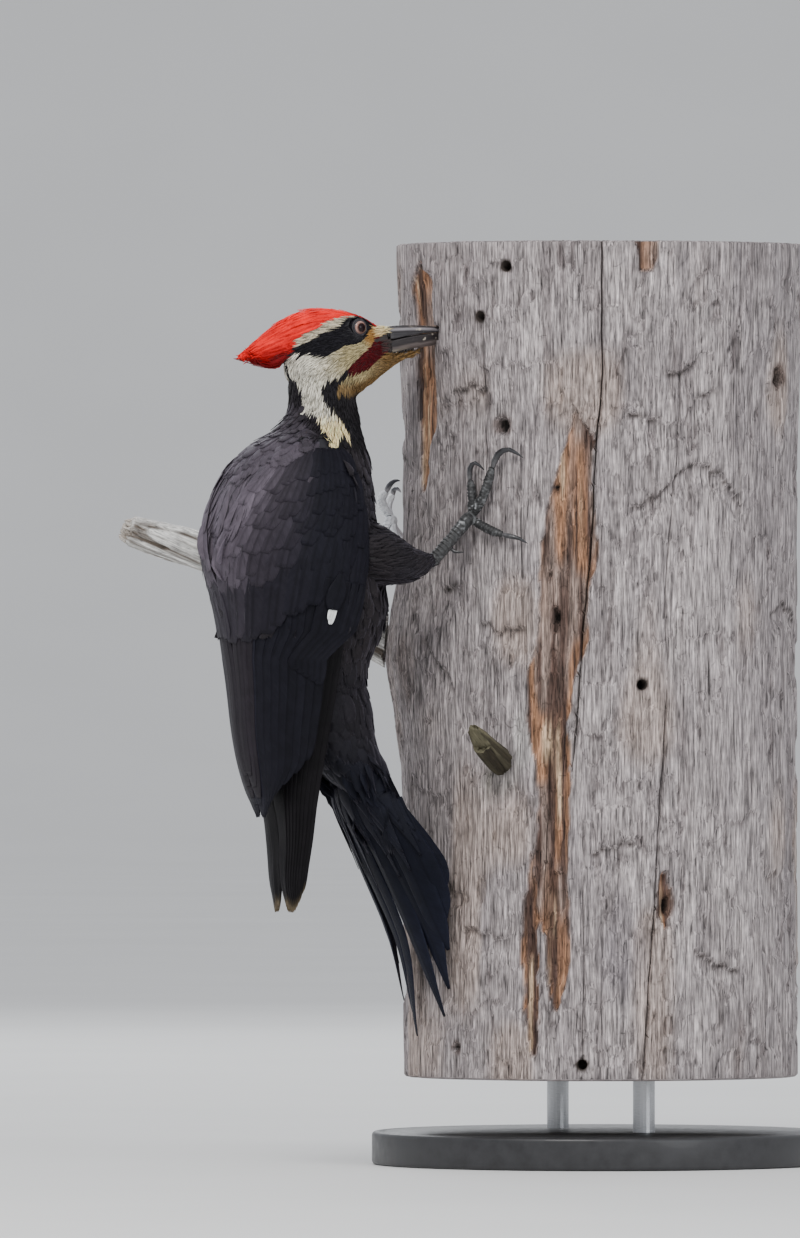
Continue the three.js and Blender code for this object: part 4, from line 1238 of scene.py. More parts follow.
# Layers of tail coverts: reach down the feather, height over it and half width, in millimetres
COVERT_LAYERS = [(0.56, 1.3, 6.0), (0.47, 1.7, 6.5), (0.39, 2.2, 7.0), (0.50, -1.2, 6.0), (0.40, -2.0, 7.0)]


def tapered(along):
    return (0.12 + 0.88 * ramp(along, 0, 0.35)) * (1 - 0.92 * ramp(along, 0.4, 1.0))


def lay_tail_coverts():
    """Soft coverts over and under the foot of the tail, along the same lines as its feathers."""
    shape, faces = vane(16, 8, tapered, fray=0.03)
    u = shape[:, 0]
    points = []
    for side, feathers in TAIL_FEATHERS.items():
        for rank, (*line, lean) in enumerate(feathers):
            for reach, over, half in COVERT_LAYERS:
                reach = reach * (1 - 0.03 * rank + 0.05 * rng.standard_normal())
                path, across, outward = tail_frame(line, lean, side, 0.05 + (reach - 0.05) * u)
                aside = 1.5 * max(0, rank - 2) + 0.8 * rng.standard_normal()
                wide = shape[:, 1] * half + aside * ramp(u, 0, 0.5)
                rise = over * (1 - 0.3 * u) - 0.03 * wide ** 2 * np.sign(over) + shape[:, 2] * 0.25
                points.append(path + across * wide[:, None] + outward * rise[:, None])
    points = np.array(points)
    count = len(points)
    shades = varied(np.full(count, 1.15), 0.1, 0.8, 1.2)[:, None, None]
    tints = np.array(TAIL_BLACK) * shades + np.zeros(points.shape)
    places = map_cells(count, 8, u, (shape[:, 1] + 1) / 2)
    fibres = np.broadcast_to(np.stack([u * 60, shape[:, 1] * 7], axis=1), places.shape)
    join_vanes("tail_coverts", points * MM, faces, tints, places, fibres, PLUMAGE)


def lay_tail():
    shape, faces = vane(52, 12, lambda along: 1.0, fray=0.012)
    u = shape[:, 0]
    v = shape[:, 1]
    points = []
    tints = []
    for side, feathers in TAIL_FEATHERS.items():
        for rank, (*line, lean) in enumerate(feathers):
            path, across, outward = tail_frame(line, lean, side, u)
            half = through(np.array(RECTRIX_WIDTHS)[:, None], u)[:, 0]
            wide = v * half * np.where(v * SIDES[side] < 0, 1.05, 0.85)
            shaft = 0.5 * np.exp(-(wide / 0.6) ** 2) * (1 - u)
            rise = shaft - 0.045 * wide ** 2 + shape[:, 2] * 0.3 + (1.2 - 0.45 * rank) * (1 - u)
            points.append(path + across * wide[:, None] + outward * rise[:, None])
            tint = np.array(TAIL_BLACK) * (1 - 0.3 * np.exp(-(wide / 0.7) ** 2))[:, None]
            # Lighter towards the vane's edges and towards the tip
            paling = (1 + 0.5 * ramp(np.abs(v), 0.8, 1.0)) * (1 + 0.7 * ramp(u, 0.5, 0.9))
            tints.append(tint * paling[:, None])
    places = map_cells(len(points), 4, u, (v + 1) / 2)
    fibres = np.broadcast_to(np.stack([u * 160, v * 6], axis=1), places.shape)
    piece = join_vanes("tail_feathers", np.array(points) * MM, faces, np.array(tints), places, fibres,
                       QUILLS)
    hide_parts("tail")


lay_tail()
lay_tail_coverts()


# ---------------------------------------------------------------- bill
SLATE = (0.015, 0.013, 0.015)
# A pale slate laid on the upper bill as a painted highlight
PAINTED_BILL_HIGHLIGHT = (0.30, 0.28, 0.295)
LOWER_GREY = (0.135, 0.110, 0.104)
HORN_PALE = (0.40, 0.36, 0.29)
WOOD_DUST = (0.62, 0.55, 0.45)


def make_bill_half(node_name, piece_name, upper):
    mesh = remeshed([node_name], 0.36 * MM)
    points = mesh_points(mesh)
    normals = mesh_normals(mesh)
    ahead, out, up = to_head(points).T
    tall = normals @ HEAD_AXES[2]
    wide = np.abs(normals @ HEAD_AXES[1])
    length = ramp(ahead, 0, 34)
    top = np.full(len(points), -99.0)
    for start in np.arange(math.floor(ahead.min()), ahead.max() + 1):
        here = (ahead >= start) & (ahead < start + 1)
        if here.any():
            top[here] = up[here].max() if upper else up[here].min()
    from_edge = np.abs(up - top)
    ridge = np.exp(-(out / 0.9) ** 2) * (np.abs(tall) > 0.5)
    shelf = np.exp(-((from_edge - (2.1 - 0.5 * length)) / 0.7) ** 2) * (wide > 0.35)
    groove = np.exp(-((from_edge - (3.1 - 0.8 * length)) / 0.5) ** 2) * (wide > 0.35)
    rise = 0.22 * ridge + (0.2 * shelf - 0.22 * groove) * (1.0 if upper else 0.45)
    rise += 0.05 * noise(np.stack([ahead / 9, out / 0.7, up / 0.7], axis=1), 21)
    set_points(mesh, points + normals * (rise * MM)[:, None])
    streak = 0.5 + 0.5 * noise(np.stack([ahead / 8, out / 0.5, up / 0.5], axis=1), 22)
    if upper:
        # Painted highlight along the shelf and ridge of the upper bill
        colour = blend_colour(SLATE, PAINTED_BILL_HIGHLIGHT, np.clip(0.85 * shelf + 0.2 * ridge + 0.07 * streak, 0, 1))
        colour = blend_colour(colour, BILL_FOOT_GREY, 0.9 * ramp(ahead, 6, 0))
    else:
        slate = np.clip(0.8 * ramp(from_edge, 2.2, 3.6) + 0.15 * streak, 0, 1)
        colour = blend_colour(LOWER_GREY, SLATE, slate)
        colour = blend_colour(colour, HORN_PALE, 0.6 * ramp(ahead, 20, 4) * ramp(from_edge, 2.6, 0.4))
    dust = ramp(noise(points * 900, 23), 0.35, 0.7) * ramp(ahead, 15, 24) * (tall > -0.2)
    colour = blend_colour(colour, WOOD_DUST, 0.75 * dust)
    set_tint(mesh, colour)
    return add_object(piece_name, mesh, HORN, [node_name])


make_bill_half("bill_upper", "upper_bill", True)
make_bill_half("bill_lower", "lower_bill", False)


# ---------------------------------------------------------------- eyes and lids
PUPIL = (0.010, 0.003, 0.004)
IRIS = (0.11, 0.047, 0.034)
IRIS_PALE = (0.40, 0.235, 0.195)
LID_GREY = (0.013, 0.012, 0.016)
LID_EDGE = (0.060, 0.054, 0.064)
EYE_RADIUS = 5 * MM
PUPIL_ANGLE = 26
IRIS_ANGLE = 45


def ring(parts, centre, gaze, radius, thickness):
    """A closed round ring of the given radius about the gaze, added to a bmesh by spinning a small circle."""
    made = bmesh.new()
    bmesh.ops.create_circle(made, segments=10, radius=thickness)
    upright = Quaternion((1, 0, 0), math.pi / 2).to_matrix()
    bmesh.ops.rotate(made, verts=made.verts[:], cent=(0, 0, 0), matrix=upright)
    bmesh.ops.translate(made, verts=made.verts[:], vec=(radius, 0, 0))
    bmesh.ops.spin(made, geom=made.verts[:] + made.edges[:], cent=(0, 0, 0), axis=(0, 0, 1),
                   angle=2 * math.pi, steps=64, use_merge=True)
    bmesh.ops.remove_doubles(made, verts=made.verts[:], dist=DOUBLES_GAP)
    bmesh.ops.recalc_face_normals(made, faces=made.faces[:])
    turn = Vector((0, 0, 1)).rotation_difference(gaze)
    bmesh.ops.rotate(made, verts=made.verts[:], cent=(0, 0, 0), matrix=turn.to_matrix())
    bmesh.ops.translate(made, verts=made.verts[:], vec=centre)
    add_shape(parts, made)


def make_eye(side, sign):
    centre = box_middle(f"eye_{side}")
    ahead, left, up = (Vector(axis) for axis in HEAD_AXES)
    gaze = (left * sign + ahead * 0.2 + up * 0.04).normalized()
    ball = bmesh.new()
    bmesh.ops.create_uvsphere(ball, u_segments=56, v_segments=72, radius=EYE_RADIUS)
    mesh = mesh_of(ball, "eyeball")
    points = mesh_points(mesh)
    angle = np.degrees(np.arccos(np.clip(points[:, 2] / EYE_RADIUS, -1, 1)))
    spoke = noise(np.stack([points[:, 0], points[:, 1], angle * 2e-5], axis=1) / (0.28 * MM), 31)
    iris = blend_colour(IRIS, IRIS_PALE, np.clip(0.25 * spoke + 0.95 * ramp(angle, 27, 37), 0, 1))
    turn = np.array(Vector((0, 0, 1)).rotation_difference(gaze).to_matrix())
    # Painted light: the iris is lit on its rear upper side and shaded towards the front
    toward_lit_side = (points @ turn.T) @ (0.8 * HEAD_AXES[2] - 0.6 * HEAD_AXES[0])
    iris = iris * (0.42 + 0.68 * ramp(toward_lit_side, -3 * MM, 2.6 * MM))[:, None]
    colour = blend_colour(PUPIL, iris, ramp(angle, PUPIL_ANGLE - 1, PUPIL_ANGLE + 2))
    colour = blend_colour(colour, LID_GREY, ramp(angle, IRIS_ANGLE - 3, IRIS_ANGLE + 2))
    set_tint(mesh, colour)
    bulge = 1 + 0.035 * ramp(angle, 40, 12)
    set_points(mesh, (points * bulge[:, None]) @ turn.T + np.array(centre))
    add_object(f"eyeball_{side}", mesh, EYE_FINISH, [f"eye_{side}"])
    lids = bmesh.new()
    ring(lids, centre + gaze * (3.15 * MM), gaze, 3.85 * MM, 0.36 * MM)
    ring(lids, centre + gaze * (2.45 * MM), gaze, 4.45 * MM, 0.5 * MM)
    mesh = mesh_of(lids, "lids")
    points = mesh_points(mesh)
    set_points(mesh, points + mesh_normals(mesh) * (0.09 * MM * noise(points / (0.5 * MM), 32))[:, None])
    # The lids are paler at their inner rim
    inner = ramp((points - np.array(centre)) @ np.array(gaze), 2.7 * MM, 3.1 * MM)
    paling = inner * (0.5 + 0.5 * noise(points / (0.6 * MM), 33))
    set_tint(mesh, blend_colour(LID_GREY, LID_EDGE, paling))
    add_object(f"eyelids_{side}", mesh, LID_FINISH)


for eye_side, eye_sign in SIDES.items():
    make_eye(eye_side, eye_sign)


# ---------------------------------------------------------------- feet
def foot_joint(side):
    """Where the toes meet the shank."""
    shank = mesh_points(frame["nodes"][f"shank_{side}"].data)
    away = np.linalg.norm(shank - np.array(box_middle(f"thigh_{side}")), axis=1)
    return shank[away > np.quantile(away, 0.93)].mean(axis=0)


def make_scutes(name, node_name, joint, plate, light):
    """Overlapping plates across the upper side of a toe or shank, with a fine pebbled underside."""
    mesh = remeshed([node_name], 0.33 * MM, 0.22 * MM)
    points = mesh_points(mesh)
    normals = mesh_normals(mesh)
    reach = np.linalg.norm(points - joint, axis=1) / MM
    outward = unit(points * (1, 1, 0))
    upper = (normals * outward).sum(axis=1)
    phase = reach / plate + 0.1 * noise(points / (4 * MM), 41)
    share = phase - np.floor(phase)
    plates = 0.42 * share ** 0.7 - 0.46 * ramp(share, 0.86, 0.99) - 0.18 * ramp(share, 0.12, 0.0)
    plates += 0.22 * noise(points / (1.6 * MM), 45)
    pebbles = 0.11 * np.maximum(0, noise(points / (0.75 * MM), 42))
    on_top = ramp(upper, -0.35, 0.1)
    rise = plates * on_top + pebbles * (1 - on_top)
    set_points(mesh, points + normals * (rise * MM)[:, None])
    dusty = ramp(noise(points / (1.1 * MM), 43) + 0.5 * noise(points / (3.5 * MM), 46), 0.0, 0.9)
    paling = (0.14 * dusty + 1.0 * dusty ** 2 * ramp(reach, 17, 2)) * (0.25 + 0.75 * on_top)
    # Painted light: light brightens the colour, as sunlight on the left foot
    colour = blend_colour(LEG_GREY, LEG_PALE, np.clip(paling + light, 0, 1)) * (1 + 3.2 * light)
    colour = colour * (1 - 0.6 * (ramp(share, 0.9, 0.99) + ramp(share, 0.08, 0.0)) * on_top)[:, None]
    set_tint(mesh, colour)
    return add_object(name, mesh, SCUTE_FINISH)


def make_feet():
    for side in SIDES:
        joint = foot_joint(side)
        # Painted light: the left foot and its claws are made lighter as if in sunlight
        light = 0.75 if side == "left" else 0.0
        make_scutes(f"scutes_{side}_shank", f"shank_{side}", joint, 2.3, light)
        for toe in TOE_RANKS:
            make_scutes(f"scutes_{side}_{toe}", f"toe_{side}_{toe}", joint, 1.7, light)
            claw = f"claw_{side}_{toe}"
            mesh = remeshed([claw], 0.24 * MM)
            points = mesh_points(mesh)
            reach = np.linalg.norm(points - joint, axis=1)
            share = (reach - reach.min()) / (reach.max() - reach.min())
            # Painted light on the left claws as well
            colour = blend_colour(CLAW_ROOT, CLAW_TIP, ramp(share, 0.05, 0.6)) * (1 + 5 * light)
            set_tint(mesh, colour * (1 + 0.3 * noise(points / (1.2 * MM), 44))[:, None])
            add_object(f"talon_{side}_{toe}", mesh, CLAW_HORN, [claw])


make_feet()


# ---------------------------------------------------------------- dead wood
WOOD_GREY = (0.312, 0.276, 0.278)
WOOD_PALE = (0.50, 0.447, 0.438)
WOOD_DARK = (0.110, 0.091, 0.091)
TORN_GREY = (0.27, 0.200, 0.170)
TORN_ORANGE = (0.33, 0.172, 0.098)
TORN_BROWN = (0.075, 0.045, 0.036)
TORN_PALE = (0.50, 0.36, 0.24)
WARM_WOOD = (0.40, 0.30, 0.24)
LEDGE_SHADE = (0.045, 0.036, 0.033)
CRACK_SHADE = (0.02, 0.016, 0.015)
PIT_SHADE = (0.012, 0.009, 0.008)
HOLE_SHADE = (0.05, 0.04, 0.034)
SAWN_PALE = (0.36, 0.29, 0.21)
SAWN_DARK = (0.22, 0.165, 0.115)
LOG_RADIUS = 109
LOG_COLUMNS = 520
LOG_ROWS = 166
CAP_SHARES = (0.0, 0.15, 0.32, 0.5, 0.68, 0.84, 0.955, 0.99)
# Long cracks as (bearing in degrees, height in millimetres) down their length, then half width and depth
CRACKS = [
    ([(60, 503), (60.4, 430), (58.6, 394), (57.5, 350), (55, 300), (51.5, 215)], 0.75, 5.0),
    ([(44.6, 232), (43.6, 180), (42.4, 122)], 0.4, 3.0),
    ([(79.6, 262), (77, 180), (74.5, 110), (72, 47)], 0.8, 5.0),
    ([(84, 436), (82.7, 394), (80.6, 351), (78.9, 304), (79.6, 266)], 0.35, 2.2),
    ([(24.6, 455), (25.2, 410), (24.2, 368)], 0.28, 1.5),
    ([(54.4, 160), (55, 100), (54.2, 58)], 0.3, 1.6),
    ([(104, 503), (103, 420), (105, 350)], 0.35, 2.0),
    ([(150, 503), (152, 300), (149, 47)], 0.7, 4.5),
    ([(205, 400), (207, 250), (204, 110)], 0.6, 4.0),
    ([(262, 503), (259, 380), (261, 220)], 0.75, 5.0),
    ([(318, 300), (320, 150), (317, 47)], 0.6, 4.0),
]
# Torn strips as (bearing, height, half width in millimetres) down their length, and how fresh the wood is
STRIPS = [
    ([(-3.5, 490, 3), (-3.5, 478, 11), (-3, 440, 13), (-4, 410, 9), (-4.5, 388, 5), (-4.5, 366, 2)], 0.75),
    ([(52, 408, 1), (53, 400, 5), (53.5, 394, 9), (51.8, 372, 10.5), (51.2, 351, 13), (49.9, 329, 15),
      (48.7, 308, 14.3), (47.2, 286, 14.5), (46.1, 265, 14), (44.7, 243, 12.5), (45.4, 221, 10.4),
      (45.1, 200, 9.8), (45.1, 167, 11), (44, 146, 11), (43.5, 135, 6), (43, 128, 1)], 0.5),
    ([(47, 160, 3), (47.2, 146, 7), (47, 120, 7), (46.8, 100, 5), (46.5, 86, 1)], 0.55),
    ([(39, 172, 1), (38.6, 146, 4), (38.6, 120, 4.5), (38.8, 90, 4.4), (39.5, 75, 3), (40, 61, 1)], 0.95),
    ([(73.5, 503, 7), (73.7, 494, 6), (73, 485, 2)], 0.8),
    ([(79, 160, 2), (79, 150, 5), (79.5, 138, 4), (79, 130, 1)], 0.8),
    ([(-5, 427, 1), (-5.2, 410, 1.8), (-4.6, 385, 1.8), (-4.6, 368, 1)], 1.0),
    ([(186, 440, 1), (188, 400, 8), (190, 330, 9), (187, 280, 2)], 0.5),
    ([(285, 260, 1), (283, 220, 7), (286, 150, 8), (284, 110, 2)], 0.6),
    ([(228, 503, 8), (230, 470, 7), (229, 440, 2)], 0.7),
]
# Rough pits as (bearing, height, half width, half height, depth)
PITS = [(30.3, 402, 4.6, 3.8, 5), (79.8, 143, 3.0, 4.6, 6), (123, 429, 6, 5, 6), (46.3, 297.5, 2.6, 6.5, 6),
        (44.6, 321, 1.4, 2.2, 3), (46.6, 368, 1.8, 2.4, 3), (-30, 250, 3, 3, 3),
        (240, 210, 6, 5, 6), (300, 400, 5, 6, 5), (12, 66, 3, 2.5, 3)]
# Ledges where a layer has broken away below a line: (bearing, height) along each line
LEDGES = [
    [(67.7, 359), (76.4, 362), (82.4, 375), (88.7, 383), (96, 377), (104.7, 362)],
    [(66.3, 410), (72, 405), (77.9, 408)],
    [(77.9, 432), (83, 430), (88.7, 434)], [(87.8, 418), (95.4, 420)], [(56.3, 170), (62, 175), (70.6, 178)],
    [(87.1, 121), (95.4, 111), (104.7, 107)], [(-2, 287), (5, 276), (9, 270), (12.9, 259)],
    [(6.2, 311), (11.6, 314), (15.8, 318)], [(20.7, 297), (29.3, 291), (37.9, 293)],
    [(14.9, 130), (24, 128), (32.6, 124)], [(12, 420), (20, 424), (27, 419)],
    [(118, 300), (127, 306), (140, 298)], [(150, 180), (158, 186), (171, 178)],
    [(180, 460), (190, 452), (200, 456)], [(196, 300), (210, 308), (222, 300)],
    [(214, 150), (224, 142), (238, 150)], [(246, 340), (256, 348), (270, 342)],
    [(268, 110), (280, 118), (290, 112)], [(296, 250), (306, 244), (318, 250)],
    [(322, 380), (332, 388), (344, 382)], [(326, 180), (336, 172), (350, 178)],
]
# Stains as (bearing, height, half width, half height, colour, strength); the greenish one below the knot stub
# is partly painted shadow of the stub
STAINS = [(66.8, 116, 17, 32, (0.235, 0.210, 0.225), 0.75), (-12, 270, 13, 26, (0.17, 0.125, 0.105), 0.6),
          (37, 234, 9, 15, (0.56, 0.54, 0.52), 0.5), (28, 212, 12, 12, (0.23, 0.225, 0.18), 0.45),
          (200, 200, 24, 60, (0.235, 0.205, 0.20), 0.5), (290, 380, 22, 50, (0.24, 0.21, 0.215), 0.5)]
HOLES = [(32.8, 488), (24.3, 461), (71.9, 262), (54.4, 57), (166, 350), (248, 150), (302, 330), (221, 420)]


def arc_gap(bearing, other, radius):
    """Distance in millimetres round the trunk between bearings in degrees."""
    return ((bearing - other + 180) % 360 - 180) * math.pi / 180 * radius


def strip_share(bearing, height, path, radius):
    """How far a point lies in a torn strip: 0 outside it and 1 within."""
    path = np.array(path, float)[::-1]
    middle = np.interp(height, path[:, 1], path[:, 0])
    half = np.interp(height, path[:, 1], path[:, 2])
    off = arc_gap(bearing, middle, radius)
    flank = np.sign(off) * 5 + path[0, 0]
    key = np.stack([height / 24, bearing * 0, flank], axis=1)
    fine = np.stack([height / 8, off / 2.2, flank], axis=1)
    edge = half * (1 + 0.2 * noise(key, 51)) + 1.3 * noise(fine, 52)
    within = (height > path[0, 1]) & (height < path[-1, 1])
    return ramp(np.abs(off), edge + 0.5, edge - 0.6) * within


def grainy(place, across, along, seed):
    """Noise drawn out along the trunk, with features so many millimetres across and along."""
    return noise(place * (1 / across, 1 / across, 1 / along), seed)


def weathered_wood(place, calm):
    """Depth and colour of open wood, and its fine grain."""
    broad = grainy(place, 24, 110, 53)
    fibre = grainy(place, 5.5, 70, 54)
    fine = grainy(place, 2.7, 26, 55)
    flake = grainy(place, 19, 25, 56) + 0.35 * grainy(place, 6, 8, 57)
    scale = grainy(place, 10, 12, 58) + 0.3 * grainy(place, 4, 5, 59)
    ledge = 1.1 * ramp(flake, 0.18, 0.25) + 0.7 * ramp(scale, 0.36, 0.42)
    lip = np.exp(-((flake - 0.25) / 0.05) ** 2) + 0.8 * np.exp(-((scale - 0.42) / 0.05) ** 2)
    depth = (0.9 + 0.7 * broad + 0.4 * fibre + 0.4 * fine + ledge) * calm
    cloud = 0.5 + 0.5 * grainy(place, 60, 95, 60)
    patch = 0.5 + 0.5 * grainy(place, 14, 40, 61)
    tint = blend_colour(WOOD_GREY, WOOD_PALE, np.clip(0.55 * cloud + 0.5 * patch - 0.3 + 0.3 * fine, 0, 1))
    speck = ramp(grainy(place, 3.0, 9, 69), 0.4, 0.8)
    # Painted shadow along the lips of flakes and scales; the rest is darker grain and specks
    dark = 0.7 * lip * (0.6 + 0.4 * fine) + 0.4 * ramp(fibre, 0.2, 0.8)
    dark = dark + 0.25 * speck + 0.35 * ramp(fine, 0.2, 0.8)
    tint = blend_colour(tint, WOOD_DARK, np.clip(dark, 0, 0.9))
    tint = blend_colour(tint, WARM_WOOD, 0.45 * ramp(grainy(place, 30, 60, 62), 0.25, 0.7))
    return depth, tint, fine


def add_ledges(bearing, height, radius, calm, depth, tint):
    """Sinks the wood below each ledge and paints a shadow along its lip."""
    for path in LEDGES:
        path = np.array(path, float)
        off = arc_gap(bearing, path[0, 0], radius)
        reach = (path[:, 0] - path[0, 0]) * math.pi / 180 * radius
        jag = 1.8 * noise(np.stack([off / 4, off * 0 + path[0, 1], off * 0], axis=1), 76)
        gap = height - np.interp(off, reach, path[:, 1]) - jag
        within = ramp(off, -1, 4) * ramp(off, reach[-1] + 1, reach[-1] - 4)
        depth = depth + 1.8 * ramp(gap, 0.8, -0.8) * ramp(gap, -18, -4) * within * calm
        tint = blend_colour(tint, LEDGE_SHADE, 0.95 * np.exp(-((gap + 0.4) / 1.3) ** 2) * within)
    return depth, tint


def wood_relief(bearing, height, radius, calm):
    """Depth of the weathered surface below the solid, and its colour."""
    angle = np.radians(bearing)
    place = np.stack([np.cos(angle) * radius, np.sin(angle) * radius, height], axis=1)
    depth, tint, fine = weathered_wood(place, calm)
    depth, tint = add_ledges(bearing, height, radius, calm, depth, tint)
    for stain_bearing, stain_height, half, tall, stain, strength in STAINS:
        off = arc_gap(bearing, stain_bearing, radius) / half
        gap = np.hypot(off, (height - stain_height) / tall) + 0.35 * noise(place / (9, 9, 20), 77)
        tint = blend_colour(tint, stain, strength * ramp(gap, 1.15, 0.4) * (0.7 + 0.3 * fine))
    for path, fresh in STRIPS:
        share = strip_share(bearing, height, path, radius)
        grain = 0.5 + 0.5 * grainy(place, 2.0, 34, 63)
        splint = 0.5 + 0.5 * grainy(place, 4.5, 60, 68)
        bright = np.clip(fresh + 0.9 * grainy(place, 8, 38, 64), 0, 1)
        wood = blend_colour(TORN_GREY, TORN_ORANGE, ramp(bright, 0.35, 0.75))
        brown = np.clip(ramp(grain, 0.5, 0.25) + 0.9 * ramp(splint, 0.42, 0.28), 0, 1)
        wood = blend_colour(wood, TORN_BROWN, brown)
        wood = blend_colour(wood, TORN_PALE, ramp(bright * grain, 0.5, 0.85))
        rim = ramp(share, 0.05, 0.4) * ramp(share, 0.95, 0.55)
        wood = blend_colour(wood, TORN_BROWN, 0.6 * rim)
        tint = tint + (wood - tint) * share[:, None]
        torn = 1.4 + 1.6 * ramp(splint, 0.6, 0.2) + 0.7 * (1 - grain)
        depth = depth + share * torn * (0.35 if fresh == 1.0 else 1.0)
    for pit_bearing, pit_height, half, tall, deep in PITS:
        off = arc_gap(bearing, pit_bearing, radius) / half
        gap = np.hypot(off, (height - pit_height) / tall) + 0.3 * noise(place / 3, 65)
        share = ramp(gap, 1.1, 0.55)
        depth = depth + deep * share
        tint = blend_colour(tint, TORN_BROWN, 0.7 * ramp(gap, 1.7, 1.0))
        tint = blend_colour(tint, PIT_SHADE, ramp(gap, 1.0, 0.6))
    for hole_bearing, hole_height in HOLES:
        gap = np.hypot(arc_gap(bearing, hole_bearing, radius), height - hole_height)
        tint = blend_colour(tint, WOOD_DARK, 0.5 * ramp(gap, 5.5, 3))
    return depth, tint


def feet_calm(points):
    """1 on open wood, and small under the toes, where the surface keeps close to the solid."""
    calm = np.ones(len(points))
    for name in TOES + CLAWS:
        gap = np.linalg.norm(points - np.array(box_middle(name)), axis=1)
        calm = np.minimum(calm, 0.3 + 0.7 * ramp(gap, 16 * MM, 30 * MM))
    return calm


def draw_to_cracks(levels):
    """Bearing of every column at every level, drawn to the cracks, with the cracks' depth and painted shadow.
    """
    columns = 360.0 * np.arange(LOG_COLUMNS) / LOG_COLUMNS
    bearings = np.repeat(columns[None, :], len(levels), axis=0)
    depths = np.zeros_like(bearings)
    crack_shadow = np.zeros_like(bearings)
    for path, half, deep in CRACKS:
        path = np.array(path, float)[::-1]
        bottom, top = path[0, 1], path[-1, 1]
        for k, level in enumerate(levels / MM):
            if not bottom <= level <= top:
                continue
            wander = 0.5 * math.sin(level / 13 + path[0, 0]) + 0.3 * math.sin(level / 4.3)
            where = np.interp(level, path[:, 1], path[:, 0]) + 0.25 * wander
            ends = min(1.0, (level - bottom) / 14 + 0.15)
            if top <= 500:
                ends = min(ends, (top - level) / 14 + 0.15)
            j = int(round(where / 360 * LOG_COLUMNS)) % LOG_COLUMNS
            reach = math.degrees(half * ends / LOG_RADIUS)
            bearings[k, j] = where
            bearings[k, (j - 1) % LOG_COLUMNS] = where - reach
            bearings[k, (j + 1) % LOG_COLUMNS] = where + reach
            depths[k, j] = deep * ends
            crack_shadow[k, j] = 1
    return bearings, depths, crack_shadow


def about_axis(middle, bearing, radius, height):
    """Points about the trunk's axis, from bearings in radians."""
    across = middle.x - radius * np.cos(bearing)
    beside = middle.y - radius * np.sin(bearing)
    return np.stack([across, beside, height], axis=-1)


def give_finishes(mesh, numbers):
    """Puts the trunk's finishes on a mesh, with a number for each face."""
    for material in (WEATHERED, END_GRAIN, HOLE_WALL_SHADE):
        mesh.materials.append(material)
    mesh.polygons.foreach_set("material_index", np.asarray(numbers, np.int32))


def trunk_sides(middle, levels):
    """Bearing in radians, sunk radius and colour at every column and level of the trunk's side."""
    core = tree_of(frame["nodes"]["perch_log"].data)
    bearings, cracks, crack_shadow = draw_to_cracks(levels)
    radii = np.empty_like(bearings)
    for k, level in enumerate(levels):
        start = Vector((middle.x, middle.y, level))
        for j, bearing in enumerate(np.radians(bearings[k])):
            out = Vector((-math.cos(bearing), -math.sin(bearing), 0))
            radii[k, j] = (core.ray_cast(start, out)[0] - start).length
    heights = np.repeat(levels[:, None], LOG_COLUMNS, axis=1)
    calm = feet_calm(about_axis(middle, np.radians(bearings), radii, heights).reshape(-1, 3))
    depth, tint = wood_relief(bearings.ravel(), heights.ravel() / MM, LOG_RADIUS, calm)
    depth = np.maximum(depth, 0).reshape(radii.shape) + cracks
    # Painted shadow down each crack
    tint = blend_colour(tint.reshape(*radii.shape, 3), CRACK_SHADE, 0.9 * crack_shadow)
    return np.radians(bearings), radii - depth * MM, tint


def make_log():
    """The trunk: one sheet wrapped round the solid, sunk by the wood's relief, with sawn ends and holes."""
    low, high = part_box("perch_log")
    middle = (low + high) / 2
    count = LOG_ROWS + 2 * len(CAP_SHARES) - 1
    sheet = bmesh.new()
    bmesh.ops.create_grid(sheet, x_segments=LOG_COLUMNS, y_segments=count - 1, size=1)
    mesh = mesh_of(sheet, "trunk")
    flat = mesh_points(mesh)
    column = np.rint((flat[:, 0] + 1) / 2 * LOG_COLUMNS).astype(int)
    row = np.rint((flat[:, 1] + 1) / 2 * (count - 1)).astype(int)
    caps = len(CAP_SHARES)
    side_row = np.clip(row - caps, 0, LOG_ROWS - 2)
    levels = np.linspace(low.z + 1.1 * MM, high.z - 1.1 * MM, LOG_ROWS - 1)
    bearings, radii, tint = trunk_sides(middle, levels)
    ring_column = column % LOG_COLUMNS
    radius = radii[side_row, ring_column]
    bearing = bearings[side_row, ring_column]
    height = levels[side_row]
    share = np.ones(len(flat))
    lower = row < caps
    upper = row >= caps + LOG_ROWS - 1
    share[lower] = np.array(CAP_SHARES)[row[lower]]
    share[upper] = np.array(CAP_SHARES)[::-1][row[upper] - caps - LOG_ROWS + 1]
    height = np.where(lower, low.z, np.where(upper, high.z, height))
    east = np.cos(bearing) * share
    north = np.sin(bearing) * share
    ragged = noise(np.stack([east * 60, north * 60, share * 0], axis=1), 66)
    saw = noise(np.stack([east * radius * 900, north * radius * 60, share * 0], axis=1), 67)
    height = height - upper * (0.25 + 0.2 * ragged + 0.12 * saw) * MM
    set_points(mesh, about_axis(middle, bearing, radius * share, height))
    ends = blend_colour(SAWN_PALE, SAWN_DARK, 0.5 + 0.5 * ragged)
    ends = blend_colour(ends, WOOD_GREY, ramp(share, 0.86, 1.0))
    colour = tint[side_row, ring_column]
    colour[lower | upper] = ends[lower | upper]
    set_tint(mesh, colour)
    corners = np.array([polygon.vertices[0] for polygon in mesh.polygons])
    give_finishes(mesh, (lower | upper)[corners])
    closed = bmesh.new()
    closed.from_mesh(mesh)
    bmesh.ops.remove_doubles(closed, verts=closed.verts[:], dist=DOUBLES_GAP)
    bmesh.ops.dissolve_degenerate(closed, edges=closed.edges[:], dist=1e-7)
    bmesh.ops.recalc_face_normals(closed, faces=closed.faces[:])
    closed.to_mesh(mesh)
    closed.free()
    return add_object("trunk", bore_holes(mesh, middle), None, ["perch_log"])


